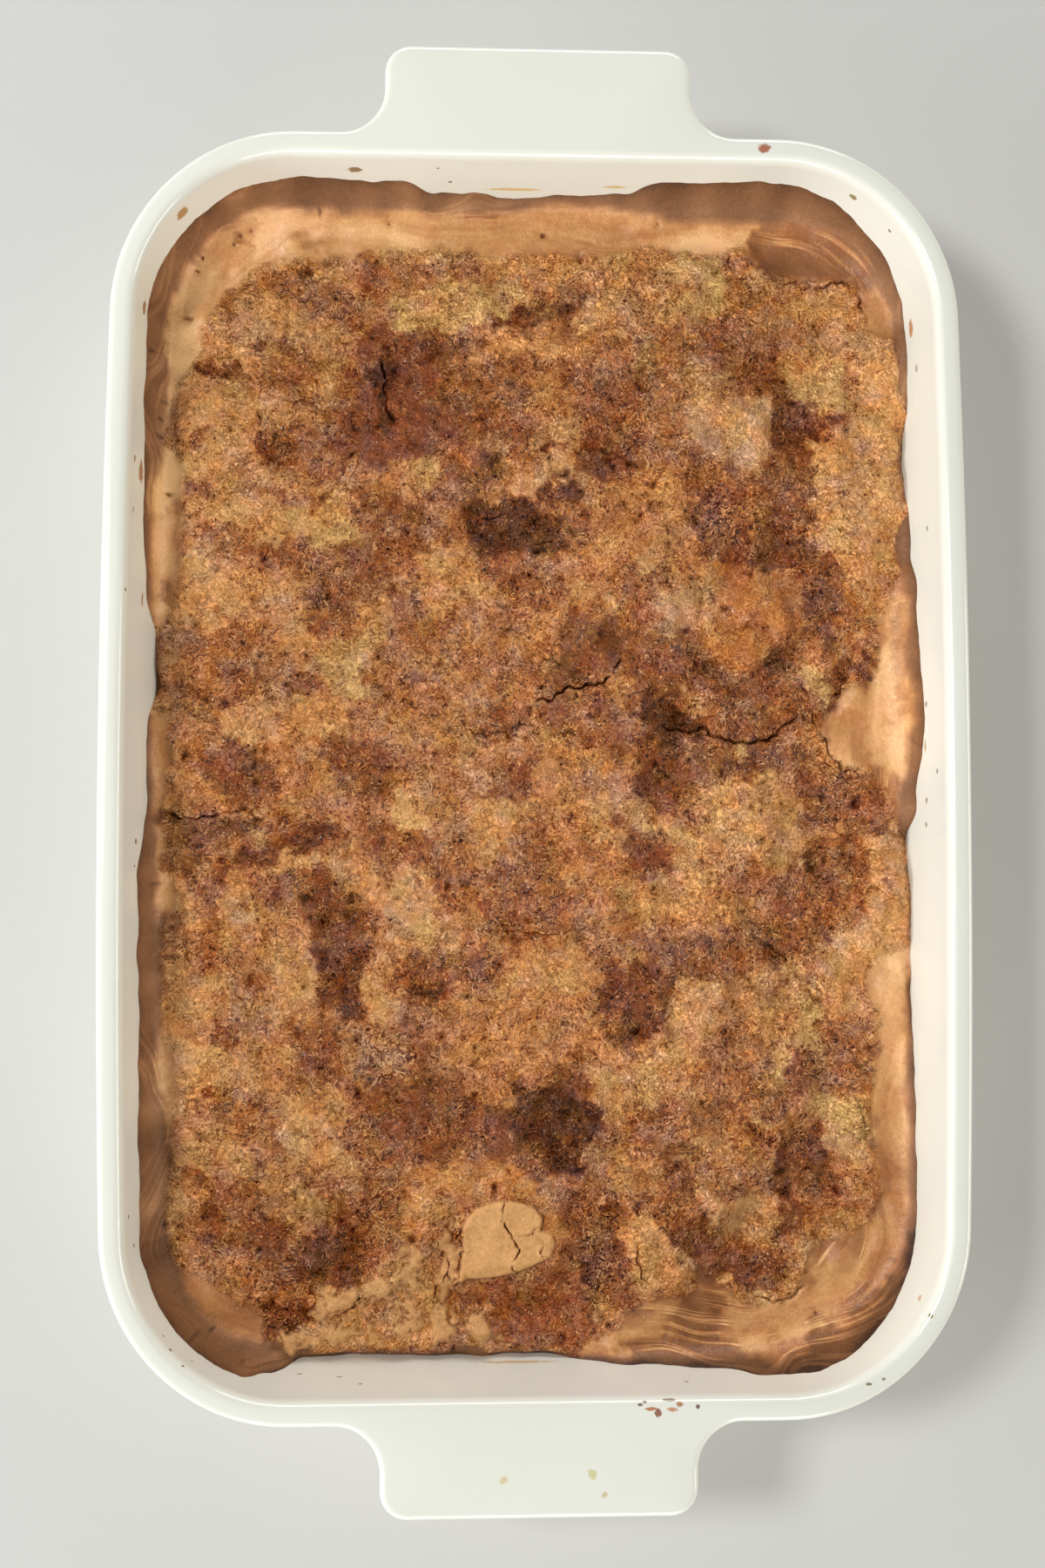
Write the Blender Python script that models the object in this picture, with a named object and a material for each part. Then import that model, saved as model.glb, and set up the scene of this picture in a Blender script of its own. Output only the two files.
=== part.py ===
"""An uncut dump cake in the white glazed oblong baking dish that it was baked in.

Metres, +Z up. The origin is under the middle of the dish, level with its foot. +Y runs along the
dish to its far tab handle, and +X points to the right of a cook who stands at the near end.
Plan sizes are written in millimetres and turned to metres when the meshes are made.
"""
import math

import bpy
from mathutils import Vector, noise
from mathutils.geometry import delaunay_2d_cdt

MM = 0.001

# Dish: plan
BODY_LENGTH = 351.0
BODY_WIDTH = 238.0
CORNER_RADIUS = 50.0
SIDE_BOW = 3.5                # how much wider the dish is at its middle than at its ends
TAB_WIDTH = 87.5
TAB_REACH = 24.5
TAB_CORNER = 7.5
TAB_FILLET = 12.5             # hollow corner between tab and rim

# Dish: section. An inset is measured inwards from the dish's outer outline.
HEIGHT = 60.0
FLOOR = 6.5                   # top of the floor over the foot
DRAFT = 0.13                  # lean of the inner wall, inwards per unit down
WALL_TOP_INSET = 7.0          # where the straight inner wall starts
WALL_TOP_DROP = 4.0           # and how far that is below the rim
RIM_FLAT_INSET = 4.5          # inner edge of the rim's flat top
RIM_ROUND = 2.2               # rounding of the outer edge of rim and tabs
INNER_FILLET = 10.0
OUTER_FILLET = 7.0
WALL_BASE_INSET = 7.3         # where the straight outer wall ends
TAB_DEPTH = 7.5
TAB_ROOT_DROP = 11.5          # where the underside of a tab meets the wall, below the rim
FOOT_WIDTH = 8.0              # flat ring that the dish stands on
FOOT_RECESS = 1.6             # the base inside that ring is raised by this
FOOT_STEP = 1.5

# Cake
GAP = 0.35                    # clear space between cake and dish, all round
CRUST_LEVEL = 33.0            # middle height of the crust over the foot
CRUST_PITCH = 4.4             # spacing of the crust's points
CRACK_PITCH = 2.6             # spacing of the points along a crack
SIDE_DEPTH = 8.0              # the side follows the crust's edge down to this far below its level
FILM_INSETS = (1.6, 4.6)      # rings of points that carry the film's curve up the wall
FILM_STEEP = (0.7, 1.7)       # share of the climb that clings to the wall, and how far it reaches
FILM_GENTLE = (0.3, 8.0)      # the rest eases out over the crust
SWELL = (1.6, 46.0)           # height and size of the crust's slow swells
LUMPS = (2.2, 15.0)
CRUMBS = (1.8, 7.0)
SKIN_DROP = 0.9               # smooth skins lie lower than the crumbly crust
SKIN_CALM = 0.85              # and have this much less relief


def arc(centre, radius, start, end, steps):
    """Points of an arc from one angle to another, in degrees, both ends included."""
    turns = [math.radians(start + (end - start) * k / steps) for k in range(steps + 1)]
    return [(centre[0] + radius * math.cos(t), centre[1] + radius * math.sin(t)) for t in turns]


def line(start, end, steps):
    """Points along a straight run, both ends included."""
    return [(start[0] + (end[0] - start[0]) * k / steps, start[1] + (end[1] - start[1]) * k / steps)
            for k in range(steps + 1)]


def bowed(point):
    """The long sides swell a little towards their middle."""
    x, y = point
    share = min(abs(y) / (BODY_LENGTH / 2), 1.0)
    return x * (1 - SIDE_BOW / (BODY_WIDTH / 2) * share * share), y


def quarter(inset, tab_inset=None):
    """One quarter of a ring, from the middle of the right side to the middle of the far end.

    With tab_inset the ring runs out round the tab handle; without it, it follows the body alone.
    Both kinds have the same number of points, so that any two rings can be joined by faces.
    """
    half_x, half_y = BODY_WIDTH / 2, BODY_LENGTH / 2
    corner = (half_x - CORNER_RADIUS, half_y - CORNER_RADIUS)
    tab_start = TAB_WIDTH / 2 + TAB_FILLET
    points = line((half_x - inset, 0.0), (half_x - inset, corner[1]), 7)
    points += arc(corner, CORNER_RADIUS - inset, 0, 90, 8)[1:]
    points += line((corner[0], half_y - inset), (tab_start, half_y - inset), 2)[1:]
    if tab_inset is None:
        points += line((tab_start, half_y - inset), (0.0, half_y - inset), 12)[1:]
        return [bowed(p) for p in points]
    centre = (tab_start, half_y + TAB_FILLET)
    for k in range(1, 5):
        turn = math.radians(270 - 90 * k / 4)
        radius = TAB_FILLET + inset + (tab_inset - inset) * k / 4
        points.append((centre[0] + radius * math.cos(turn), centre[1] + radius * math.sin(turn)))
    tab_corner = (TAB_WIDTH / 2 - TAB_CORNER, half_y + TAB_REACH - TAB_CORNER)
    points += arc(tab_corner, TAB_CORNER - tab_inset, 0, 90, 4)
    points += line((tab_corner[0], half_y + TAB_REACH - tab_inset),
                   (0.0, half_y + TAB_REACH - tab_inset), 3)[1:]
    return [bowed(p) for p in points]


def ring(inset, tab_inset=None):
    """A closed ring, anticlockwise from the middle of the right side."""
    first = quarter(inset, tab_inset)
    second = [(-x, y) for x, y in reversed(first)]
    third = [(-x, -y) for x, y in first]
    fourth = [(x, -y) for x, y in reversed(first)]
    return first[:-1] + second[:-1] + third[:-1] + fourth[:-1]


def wall_inset(height):
    """Inset of the straight inner wall at a height over the foot."""
    return WALL_TOP_INSET + DRAFT * (HEIGHT - WALL_TOP_DROP - height)


def inner_fillet(clearance, steps):
    """Insets and heights down the curve between the inner wall and the floor."""
    slant = math.hypot(1.0, DRAFT)
    turn_height = FLOOR + INNER_FILLET
    touch_height = turn_height - INNER_FILLET * DRAFT / slant
    centre_inset = wall_inset(touch_height) + INNER_FILLET / slant
    start = math.pi + math.atan(DRAFT)
    radius = INNER_FILLET - clearance
    turns = [start + (1.5 * math.pi - start) * k / steps for k in range(steps + 1)]
    return [(centre_inset + radius * math.cos(t), turn_height + radius * math.sin(t)) for t in turns]


def mesh_object(name, points, faces, colour, roughness):
    """A named object with its own material, shaded smooth except at sharp edges."""
    mesh = bpy.data.meshes.new(name)
    mesh.from_pydata([Vector(p) * MM for p in points], [], faces)
    mesh.validate()
    mesh.update()
    mesh.shade_smooth()
    mesh.set_sharp_from_angle(angle=math.radians(35))
    material = bpy.data.materials.new(name)
    material.use_nodes = True
    shader = material.node_tree.nodes["Principled BSDF"]
    shader.inputs["Base Color"].default_value = (*colour, 1.0)
    shader.inputs["Roughness"].default_value = roughness
    mesh.materials.append(material)
    part = bpy.data.objects.new(name, mesh)
    bpy.context.scene.collection.objects.link(part)
    return part


def join_rings(rows, first, count):
    """Faces between rings that lie one after another in a list of points."""
    faces = []
    for row in range(rows - 1):
        for k in range(count):
            after = (k + 1) % count
            upper, lower = first + row * count, first + (row + 1) * count
            faces.append((upper + k, lower + k, lower + after, upper + after))
    return faces


def make_dish():
    """One loft, from the floor over the rim and the tabs to the foot underneath."""
    rows = [(ring(inset), height) for inset, height in reversed(inner_fillet(0.0, 4))]
    rows += [
        (ring(WALL_TOP_INSET), HEIGHT - WALL_TOP_DROP),
        (ring(WALL_TOP_INSET - 0.8), HEIGHT - 1.3),
        (ring(RIM_FLAT_INSET), HEIGHT),
        (ring(RIM_ROUND, RIM_ROUND), HEIGHT),
        (ring(0.3 * RIM_ROUND, 0.3 * RIM_ROUND), HEIGHT - 0.3 * RIM_ROUND),
        (ring(0.0, 0.0), HEIGHT - RIM_ROUND),
        (ring(0.2, 0.2), HEIGHT - TAB_DEPTH + RIM_ROUND),
        (ring(0.4, 0.8 * RIM_ROUND), HEIGHT - TAB_DEPTH + 0.5),
        (ring(0.8, 2.0 * RIM_ROUND), HEIGHT - TAB_DEPTH - 0.2),
        (ring(1.5), HEIGHT - TAB_ROOT_DROP),
    ]
    for inset, height in arc((WALL_BASE_INSET + OUTER_FILLET, OUTER_FILLET), OUTER_FILLET, 180, 270, 3):
        rows.append((ring(inset), height))
    foot_inner = WALL_BASE_INSET + OUTER_FILLET + FOOT_WIDTH
    rows.append((ring(foot_inner), 0.0))
    rows.append((ring(foot_inner + FOOT_STEP), FOOT_RECESS))
    count = len(rows[0][0])
    points = [(x, y, height) for outline, height in rows for x, y in outline]
    faces = join_rings(len(rows), 0, count)
    floor_middle, base_middle = len(points), len(points) + 1
    points += [(0.0, 0.0, FLOOR), (0.0, 0.0, FOOT_RECESS)]
    last = (len(rows) - 1) * count
    for k in range(count):
        after = (k + 1) % count
        faces += [(floor_middle, k, after), (base_middle, last + after, last + k)]
    return mesh_object("dish", points, faces, (0.82, 0.82, 0.76), 0.12)


# Crust relief. Each row is x, y, half length, half width, turn in degrees and height, in mm.
# A height below zero is a sunken place, where filling has soaked up through the dry mix.
MOUNDS = (
    (62, 43, 13, 12, 0, 1.6), (-68, -35, 11, 10, 0, 1.0), (55, 100, 13, 11, 0, 1.8),
    (40, 47, 9, 9, 0, 1.2), (61, -16, 15, 11, 70, 1.8), (96, 98, 44, 12, 88, 1.8),
    (-78, 98, 42, 26, 80, 1.0), (-82, -90, 27, 22, 90, 1.0), (20, 134, 9, 7, 0, 1.4),
    (-20, 136, 8, 7, 0, 1.2), (-36, -8, 10, 7, 30, 1.2), (103, -42, 22, 7, 90, 1.2),
    (53, -124, 9, 6, 0, 1.6), (88, -101, 8, 6, 60, 1.6), (35, -135, 14, 8, 100, 1.3),
    (-45, -52, 14, 9, 110, 1.0), (-66, 14, 20, 6, 15, 1.2), (48, -66, 9, 6, 40, 1.4),
    (-57, -147, 9, 5, 10, 2.4), (-45, -143, 8, 6, 40, 2.2), (-35, -134, 8, 5, 60, 1.8),
    (-40, -155, 9, 4, 0, 1.8), (-14, -154, 11, 5, 0, 1.6), (-66, -157, 9, 3, 20, 1.4),
)
HOLLOWS = (
    (-25, 96, 33, 25, 90, -1.5), (-9, 73, 11, 8, 0, -1.8), (12, -101, 15, 14, 0, -2.4),
    (76, 84, 26, 10, 85, -1.8), (60, -138, 15, 13, 0, -1.8), (84, -26, 23, 14, 90, -1.2),
    (42, 6, 15, 10, 60, -2.0), (-80, -16, 27, 7, 175, -1.4), (-88, 35, 9, 8, 0, -1.2),
    (26, -64, 14, 10, 90, -1.2), (-70, -131, 27, 8, 0, -1.4), (16, -136, 20, 9, 85, -1.4),
    (79, -112, 16, 10, 90, -1.6), (-8, -148, 20, 8, 5, -2.0), (20, 104, 18, 11, 80, -1.0),
    (-90, 82, 8, 6, 0, -1.2), (-84, 116, 12, 7, 0, -1.2), (5, 132, 14, 6, 0, -1.2),
    (-45, 9, 16, 11, 0, -1.2), (-55, -45, 17, 8, 90, -1.2), (63, -49, 12, 8, 0, -1.4),
    (-25, -86, 28, 22, 20, -1.0), (-72, -147, 9, 8, 0, -1.6), (17, 33, 15, 10, 0, -1.3),
    (85, 22, 12, 5, 50, -1.6),
)
MOAT = ((62, 43), 15.0, 23.0, -2.0)      # sunken ring round the smooth disc: centre, radii, depth

# Cracks: half width, depth, and the points that each one runs through
CRACKS = (
    (1.3, 2.6, ((0, 20), (10, 25), (18, 27), (25, 31))),
    (1.3, 2.6, ((38, 13), (48, 12), (53, 9), (60, 8), (65, 10), (75, 16))),
    (1.1, 1.8, ((-42, 122), (-43, 105), (-41, 98))),
    (1.1, 1.8, ((-98, -13), (-80, -11), (-60, -15))),
    (1.2, 2.0, ((-22, -126), (-20, -138), (-25, -147))),
    (1.2, 2.2, ((-9, -121), (-8, -128), (-6, -132), (-7, -139))),
    (1.1, 1.8, ((63, -45), (68, -49), (73, -53))),
    (1.1, 1.8, ((29, -128), (31, -139))),
    (1.1, 1.8, ((62, 145), (75, 141), (90, 142))),
)
# Unmixed dry cake mix: a low plate with a broken edge
PLATE = ((-19, -126), (-15, -122), (-10, -120.5), (-3, -121), (2, -124), (4, -130),
         (4, -134), (1, -137), (-4, -139.5), (-10, -140), (-19, -139.5))
PLATE_RISE = 2.6
PLATE_EDGE = 0.9

# Smooth baked-on skins, where filling rose round the crust: x, y, half sizes, turn
SKINS = (
    (-92, 152, 26, 15, 40), (-15, 158, 62, 7, 0), (51, 160, 20, 8, 0), (86, 154, 26, 13, -35),
    (104, 22, 36, 8, 90), (104, -118, 34, 7, 95), (72, -154, 48, 10, 14), (-95, -150, 20, 12, -40),
    (-106, 75, 30, 6, 90), (-106, -38, 12, 6, 90),
)

# How far the film climbs the wall over the crust, along each wall and round its corners.
# The first number is the place along the wall: y on the right and left, x at far and near ends.
CLIMB = {
    "right": ((-128, 5), (-100, 3), (-70, 1), (-45, 0), (-22, 0), (-8, 6), (15, 12), (50, 8),
              (75, 4), (90, 0), (105, 0), (122, 5)),
    "far": ((80, 16), (58, 16), (38, 14), (27, 7), (0, 5), (-30, 6), (-40, 12), (-60, 13), (-82, 15)),
    "left": ((122, 14), (70, 12), (53, 8), (43, 0), (27, -2), (12, 5), (-8, 5), (-35, 12),
             (-60, 11), (-120, 12)),
    "near": ((-86, 16), (-78, 9), (-69, -1), (-45, -2), (-22, 0), (0, -2), (15, 2), (30, 6),
             (52, 10), (66, 13), (84, 14)),
}


def smooth(value):
    """0 below 0, 1 above 1, and an easy curve between."""
    value = min(max(value, 0.0), 1.0)
    return value * value * (3 - 2 * value)


def oval_reach(x, y, shape):
    """Distance from an oval's middle, where 1 is its edge."""
    turn = math.radians(shape[4])
    east, north = x - shape[0], y - shape[1]
    along = east * math.cos(turn) + north * math.sin(turn)
    across = north * math.cos(turn) - east * math.sin(turn)
    return math.hypot(along / shape[2], across / shape[3])


def path_distance(x, y, path):
    """Shortest distance from a point to a run of straight pieces."""
    best = 1e9
    for (ax, ay), (bx, by) in zip(path, path[1:]):
        length = (bx - ax) ** 2 + (by - ay) ** 2
        share = min(max(((x - ax) * (bx - ax) + (y - ay) * (by - ay)) / length, 0.0), 1.0)
        best = min(best, math.hypot(x - ax - share * (bx - ax), y - ay - share * (by - ay)))
    return best


def outline_distance(x, y, outline):
    """Shortest distance from a point to a closed outline."""
    return path_distance(x, y, list(outline) + [outline[0]])


def inside(x, y, outline):
    """Whether a point lies inside a closed outline."""
    crossings = 0
    for (ax, ay), (bx, by) in zip(outline, outline[1:] + outline[:1]):
        if (ay > y) != (by > y) and x < ax + (y - ay) * (bx - ax) / (by - ay):
            crossings += 1
    return crossings % 2 == 1


def wall_turn(x, y):
    """Place round the wall as an angle, with the dish drawn up into a square."""
    return math.atan2(y / (BODY_LENGTH / 2), x / (BODY_WIDTH / 2))


def film_stations():
    """The film's climbs as angle and height, in order, with the round closed at both ends."""
    spots = {
        "right": lambda place: (BODY_WIDTH / 2, place), "far": lambda place: (place, BODY_LENGTH / 2),
        "left": lambda place: (-BODY_WIDTH / 2, place), "near": lambda place: (place, -BODY_LENGTH / 2),
    }
    stations = sorted((wall_turn(*spots[wall](place)), rise)
                      for wall, rows in CLIMB.items() for place, rise in rows)
    whole = 2 * math.pi
    return ([(stations[-1][0] - whole, stations[-1][1])] + stations
            + [(stations[0][0] + whole, stations[0][1])])


STATIONS = film_stations()


def climb(x, y):
    """Height of the film at the wall over the crust, at the place on the wall nearest a point."""
    turn = wall_turn(x, y)
    start = max(station for station in STATIONS if station[0] <= turn)
    end = min(station for station in STATIONS if station[0] > turn)
    return start[1] + (end[1] - start[1]) * smooth((turn - start[0]) / (end[0] - start[0]))


def skin_share(x, y):
    """1 on smooth skin and 0 on crumbly crust."""
    return max(smooth((1.15 - oval_reach(x, y, shape)) / 0.3) for shape in SKINS)


def relief(x, y, height_and_size, layer):
    """Smooth uneven relief of a stated height and size, different in each layer."""
    height, size = height_and_size
    return height * noise.noise(Vector((x / size, y / size, layer)))


def crust_height(x, y, wall_gap):
    """Height of the cake's top over the foot."""
    skin = skin_share(x, y)
    rough = relief(x, y, LUMPS, 9.1) + relief(x, y, CRUMBS, 5.3)
    level = CRUST_LEVEL + relief(x, y, SWELL, 3.7) + rough * (1 - SKIN_CALM * skin) - SKIN_DROP * skin
    for shape in MOUNDS + HOLLOWS:
        level += shape[5] * smooth((1.25 - oval_reach(x, y, shape)) / 0.6)
    (moat_x, moat_y), moat_in, moat_out, moat_depth = MOAT
    reach = math.hypot(x - moat_x, y - moat_y)
    level += moat_depth * smooth((reach - moat_in + 4) / 4) * smooth((moat_out - reach) / 5)
    if inside(x, y, PLATE):
        level = max(level, CRUST_LEVEL) + PLATE_RISE * smooth(outline_distance(x, y, PLATE) / PLATE_EDGE)
    for half_width, depth, path in CRACKS:
        level -= depth * max(0.0, 1 - path_distance(x, y, path) / half_width)
    film = sum(share * math.exp(-wall_gap / reach) for share, reach in (FILM_STEEP, FILM_GENTLE))
    return level + climb(x, y) * film


def side_ring(height):
    """The cake's side at a height over the foot, just inside the straight wall."""
    slant = math.hypot(1.0, DRAFT)
    return ring(wall_inset(height) + GAP * slant)


def on_wall(place, height):
    """A point on the cake's side: place counts the ring's points, and halves fall between two."""
    outline = side_ring(height)
    k = int(place)
    x0, y0 = outline[k % len(outline)]
    x1, y1 = outline[(k + 1) % len(outline)]
    return x0 + (x1 - x0) * (place - k), y0 + (y1 - y0) * (place - k)


def edge_point(place):
    """Where the cake's top meets its side."""
    x, y = on_wall(place, CRUST_LEVEL)
    height = CRUST_LEVEL
    for _ in range(3):
        height = crust_height(x, y, 0.0)
        x, y = on_wall(place, height)
    return x, y, height


def along(path, side):
    """Points along a path at the crack pitch, each with the points to its left by each amount in side."""
    spots = []
    for (ax, ay), (bx, by) in zip(path, path[1:]):
        run = math.hypot(bx - ax, by - ay)
        steps = max(1, round(run / CRACK_PITCH))
        for k in range(steps):
            x, y = ax + (bx - ax) * k / steps, ay + (by - ay) * k / steps
            spots += [(x - (by - ay) / run * away, y + (bx - ax) / run * away) for away in side]
    return spots


def feature_points():
    """Points along each crack's bottom and lips, and round the plate's foot and top edge."""
    spots = along(PLATE + PLATE[:1], (0.0, -PLATE_EDGE))
    for half_width, _, path in CRACKS:
        spots += along(path, (0.0, half_width, -half_width)) + [path[-1]]
    kept = []
    for x, y in spots:
        if all(math.hypot(x - kept_x, y - kept_y) > 0.7 for kept_x, kept_y in kept):
            kept.append((x, y))
    return kept


def crust_grid(limit, taken):
    """A triangular grid of points inside an outline, clear of the points already taken."""
    grid = []
    row_pitch = CRUST_PITCH * math.sqrt(3) / 2
    half_rows = int(BODY_LENGTH / 2 / row_pitch)
    half_columns = int(BODY_WIDTH / 2 / CRUST_PITCH)
    clear = 0.4 * CRUST_PITCH
    for row in range(-half_rows, half_rows + 1):
        for column in range(-half_columns, half_columns + 1):
            x, y = (column + 0.5 * (row % 2)) * CRUST_PITCH, row * row_pitch
            if inside(x, y, limit) and all(math.hypot(x - tx, y - ty) > clear for tx, ty in taken):
                grid.append((x, y))
    return grid


def make_cake():
    """Crust with its relief on top, sides that follow the dish's wall, and a flat bottom."""
    count = len(ring(0.0))
    edge = [edge_point(k / 2) for k in range(2 * count)]
    side_foot = CRUST_LEVEL - SIDE_DEPTH
    rows = [(side_ring(side_foot), side_foot)]
    rows += [(ring(inset), height) for inset, height in inner_fillet(GAP, 2)]
    points = edge + [(x, y, height) for outline, height in rows for x, y in outline]
    faces = join_rings(len(rows), len(edge), count)
    bottom_middle, last = len(points), len(points) - count
    points.append((0.0, 0.0, FLOOR + GAP))
    for k in range(count):
        after = (k + 1) % count
        lower, lower_after = len(edge) + k, len(edge) + after
        faces += [(2 * k, lower, 2 * k + 1), (lower, lower_after, 2 * k + 1),
                  (2 * k + 1, lower_after, (2 * k + 2) % len(edge)),
                  (last + k, bottom_middle, last + after)]

    crust_inset = wall_inset(CRUST_LEVEL) + GAP
    film = [(x, y, gap) for gap in FILM_INSETS for x, y in ring(crust_inset + gap)]
    film_foot = ring(crust_inset + FILM_INSETS[-1])
    features = [spot for spot in feature_points() if inside(*spot, ring(crust_inset + FILM_INSETS[-1] + 2))]
    limit = ring(crust_inset + FILM_INSETS[-1] + 0.5 * CRUST_PITCH)
    flat = [Vector(spot[:2]) for spot in edge + film + features + crust_grid(limit, features)]
    rim = [(k, (k + 1) % len(edge)) for k in range(len(edge))]
    spots, _, triangles, sources, _, _ = delaunay_2d_cdt(flat, rim, [], 1, 1e-6)
    number = {}
    for k, spot in enumerate(spots):
        source = sources[k][0]
        if source < len(edge):
            number[k] = source
            continue
        if source < len(edge) + len(film):
            wall_gap = film[source - len(edge)][2]
        else:
            wall_gap = FILM_INSETS[-1] + outline_distance(spot.x, spot.y, film_foot)
        number[k] = len(points)
        points.append((spot.x, spot.y, crust_height(spot.x, spot.y, wall_gap)))
    faces += [tuple(number[corner] for corner in triangle) for triangle in triangles]
    return mesh_object("cake", points, faces, (0.40, 0.20, 0.075), 0.45)


for old in list(bpy.data.objects):
    bpy.data.objects.remove(old, do_unlink=True)
make_dish()
make_cake()
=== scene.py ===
import math

import bpy
import numpy as np
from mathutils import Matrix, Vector, noise
from mathutils.geometry import delaunay_2d_cdt
from mathutils.kdtree import KDTree


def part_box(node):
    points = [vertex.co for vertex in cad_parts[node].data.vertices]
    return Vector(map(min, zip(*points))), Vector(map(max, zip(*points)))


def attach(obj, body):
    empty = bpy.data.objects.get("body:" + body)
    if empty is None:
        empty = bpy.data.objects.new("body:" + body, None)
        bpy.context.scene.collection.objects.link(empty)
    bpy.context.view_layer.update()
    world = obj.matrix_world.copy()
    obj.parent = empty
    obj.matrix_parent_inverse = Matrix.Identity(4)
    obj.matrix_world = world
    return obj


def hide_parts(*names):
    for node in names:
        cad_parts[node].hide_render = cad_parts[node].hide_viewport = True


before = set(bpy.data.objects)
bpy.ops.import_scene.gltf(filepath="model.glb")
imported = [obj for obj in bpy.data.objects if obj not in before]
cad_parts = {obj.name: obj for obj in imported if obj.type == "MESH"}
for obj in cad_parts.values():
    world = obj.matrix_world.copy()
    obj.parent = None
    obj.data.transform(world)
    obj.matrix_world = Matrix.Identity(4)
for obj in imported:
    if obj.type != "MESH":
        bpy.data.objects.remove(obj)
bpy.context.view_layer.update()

# ------------------------------------------------------------------------------- Baking dish
# White stoneware, cast in one piece with its two tab handles, dipped in a cream-white glaze and
# fired. The glaze is thick and smooth, so every edge is rounded. Splashes of batter and syrup
# have baked on as small brown specks and smears.
MM = 0.001
dish_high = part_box("dish")[1] / MM
HALF_WIDTH = dish_high.x
HEIGHT = dish_high.z
TAB_END = dish_high.y
TAB_REACH = 24.5
HALF_LENGTH = TAB_END - TAB_REACH
CORNER_RADIUS = 50.0
SIDE_BOW = 3.5
TAB_HALF = 43.75
TAB_CORNER = 7.5
TAB_FILLET = 12.5
FLOOR = 6.5
DRAFT = 0.13
WALL_TOP_INSET = 7.0
WALL_TOP_DROP = 4.0
RIM_FLAT_INSET = 4.5
RIM_ROUND = 2.2
INNER_FILLET = 10.0
OUTER_FILLET = 7.0
WALL_BASE_INSET = 7.3
TAB_DEPTH = 7.5
TAB_ROOT_DROP = 11.5
FOOT_WIDTH = 8.0
FOOT_RECESS = 1.6
FOOT_STEP = 1.5
FACE_DRAFT = 0.2              # the outer edge leans in by this down its height
TAB_ROOT_INSET = 1.5          # where the underside of the rim meets the outer wall


def arc(centre, radius, start, end, steps):
    """Points of an arc from one angle to another, in degrees, both ends included."""
    turns = np.radians(np.linspace(start, end, steps + 1))
    return np.column_stack((centre[0] + radius * np.cos(turns), centre[1] + radius * np.sin(turns)))


def quarter(inset, tab_inset, fine):
    """A quarter of a ring, from the middle of the right side to the middle of the far end."""
    corner = (HALF_WIDTH - CORNER_RADIUS, HALF_LENGTH - CORNER_RADIUS)
    tab_start = TAB_HALF + TAB_FILLET
    side = HALF_WIDTH - inset
    end = HALF_LENGTH - inset
    runs = [
        np.linspace((side, 0.0), (side, corner[1]), 7 * fine + 1),
        arc(corner, CORNER_RADIUS - inset, 0, 90, 8 * fine)[1:],
        np.linspace((corner[0], end), (tab_start, end), 2 * fine + 1)[1:],
    ]
    if tab_inset is None:
        runs.append(np.linspace((tab_start, end), (0.0, end), 12 * fine + 1)[1:])
    else:
        turns = np.radians(np.linspace(270, 180, 4 * fine + 1)[1:])
        radius = TAB_FILLET + np.linspace(inset, tab_inset, 4 * fine + 1)[1:]
        fillet = np.column_stack((tab_start + radius * np.cos(turns),
                                  HALF_LENGTH + TAB_FILLET + radius * np.sin(turns)))
        tab_corner = (TAB_HALF - TAB_CORNER, TAB_END - TAB_CORNER)
        rounding = arc(tab_corner, TAB_CORNER - tab_inset, 0, 90, 4 * fine)
        runs += [
            fillet,
            np.linspace(fillet[-1], rounding[0], fine + 1)[1:],
            rounding[1:],
            np.linspace(rounding[-1], (0.0, TAB_END - tab_inset), 3 * fine + 1)[1:],
        ]
    points = np.concatenate(runs)
    share = np.minimum(np.abs(points[:, 1]) / HALF_LENGTH, 1.0)
    points[:, 0] *= 1 - SIDE_BOW / HALF_WIDTH * share ** 2
    return points


def ring(inset, tab_inset=None, fine=3):
    """A closed ring round the dish, anticlockwise; with tab_inset it runs out round the tabs."""
    first = quarter(inset, tab_inset, fine)
    back = first[::-1]
    return np.concatenate((first[:-1], (back * (-1, 1))[:-1], (first * (-1, -1))[:-1],
                           (back * (1, -1))[:-1]))


def wall_inset(height):
    """Inset of the straight inner wall at a height over the foot."""
    return WALL_TOP_INSET + DRAFT * (HEIGHT - WALL_TOP_DROP - height)


def inner_fillet(clearance, steps):
    """Insets and heights down the curve between the inner wall and the floor."""
    slant = math.hypot(1.0, DRAFT)
    turn_height = FLOOR + INNER_FILLET
    centre_inset = wall_inset(turn_height - INNER_FILLET * DRAFT / slant) + INNER_FILLET / slant
    curve = arc((centre_inset, turn_height), INNER_FILLET - clearance,
                180 + math.degrees(math.atan(DRAFT)), 270, steps)
    return [tuple(spot) for spot in curve]


def join_rings(rows, first, count):
    """Faces between rings that lie one after another in a list of points."""
    step = np.arange(count)
    after = (step + 1) % count
    faces = []
    for row in range(rows - 1):
        upper = first + row * count
        lower = upper + count
        faces += np.column_stack((upper + step, lower + step, lower + after, upper + after)).tolist()
    return faces


def add_mesh(name, points, faces):
    """An object at the origin from points in millimetres, shaded smooth."""
    mesh = bpy.data.meshes.new(name)
    mesh.from_pydata((np.asarray(points) * MM).tolist(), [], faces)
    mesh.validate()
    mesh.update()
    mesh.shade_smooth()
    piece = bpy.data.objects.new(name, mesh)
    bpy.context.scene.collection.objects.link(piece)
    return piece


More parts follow.
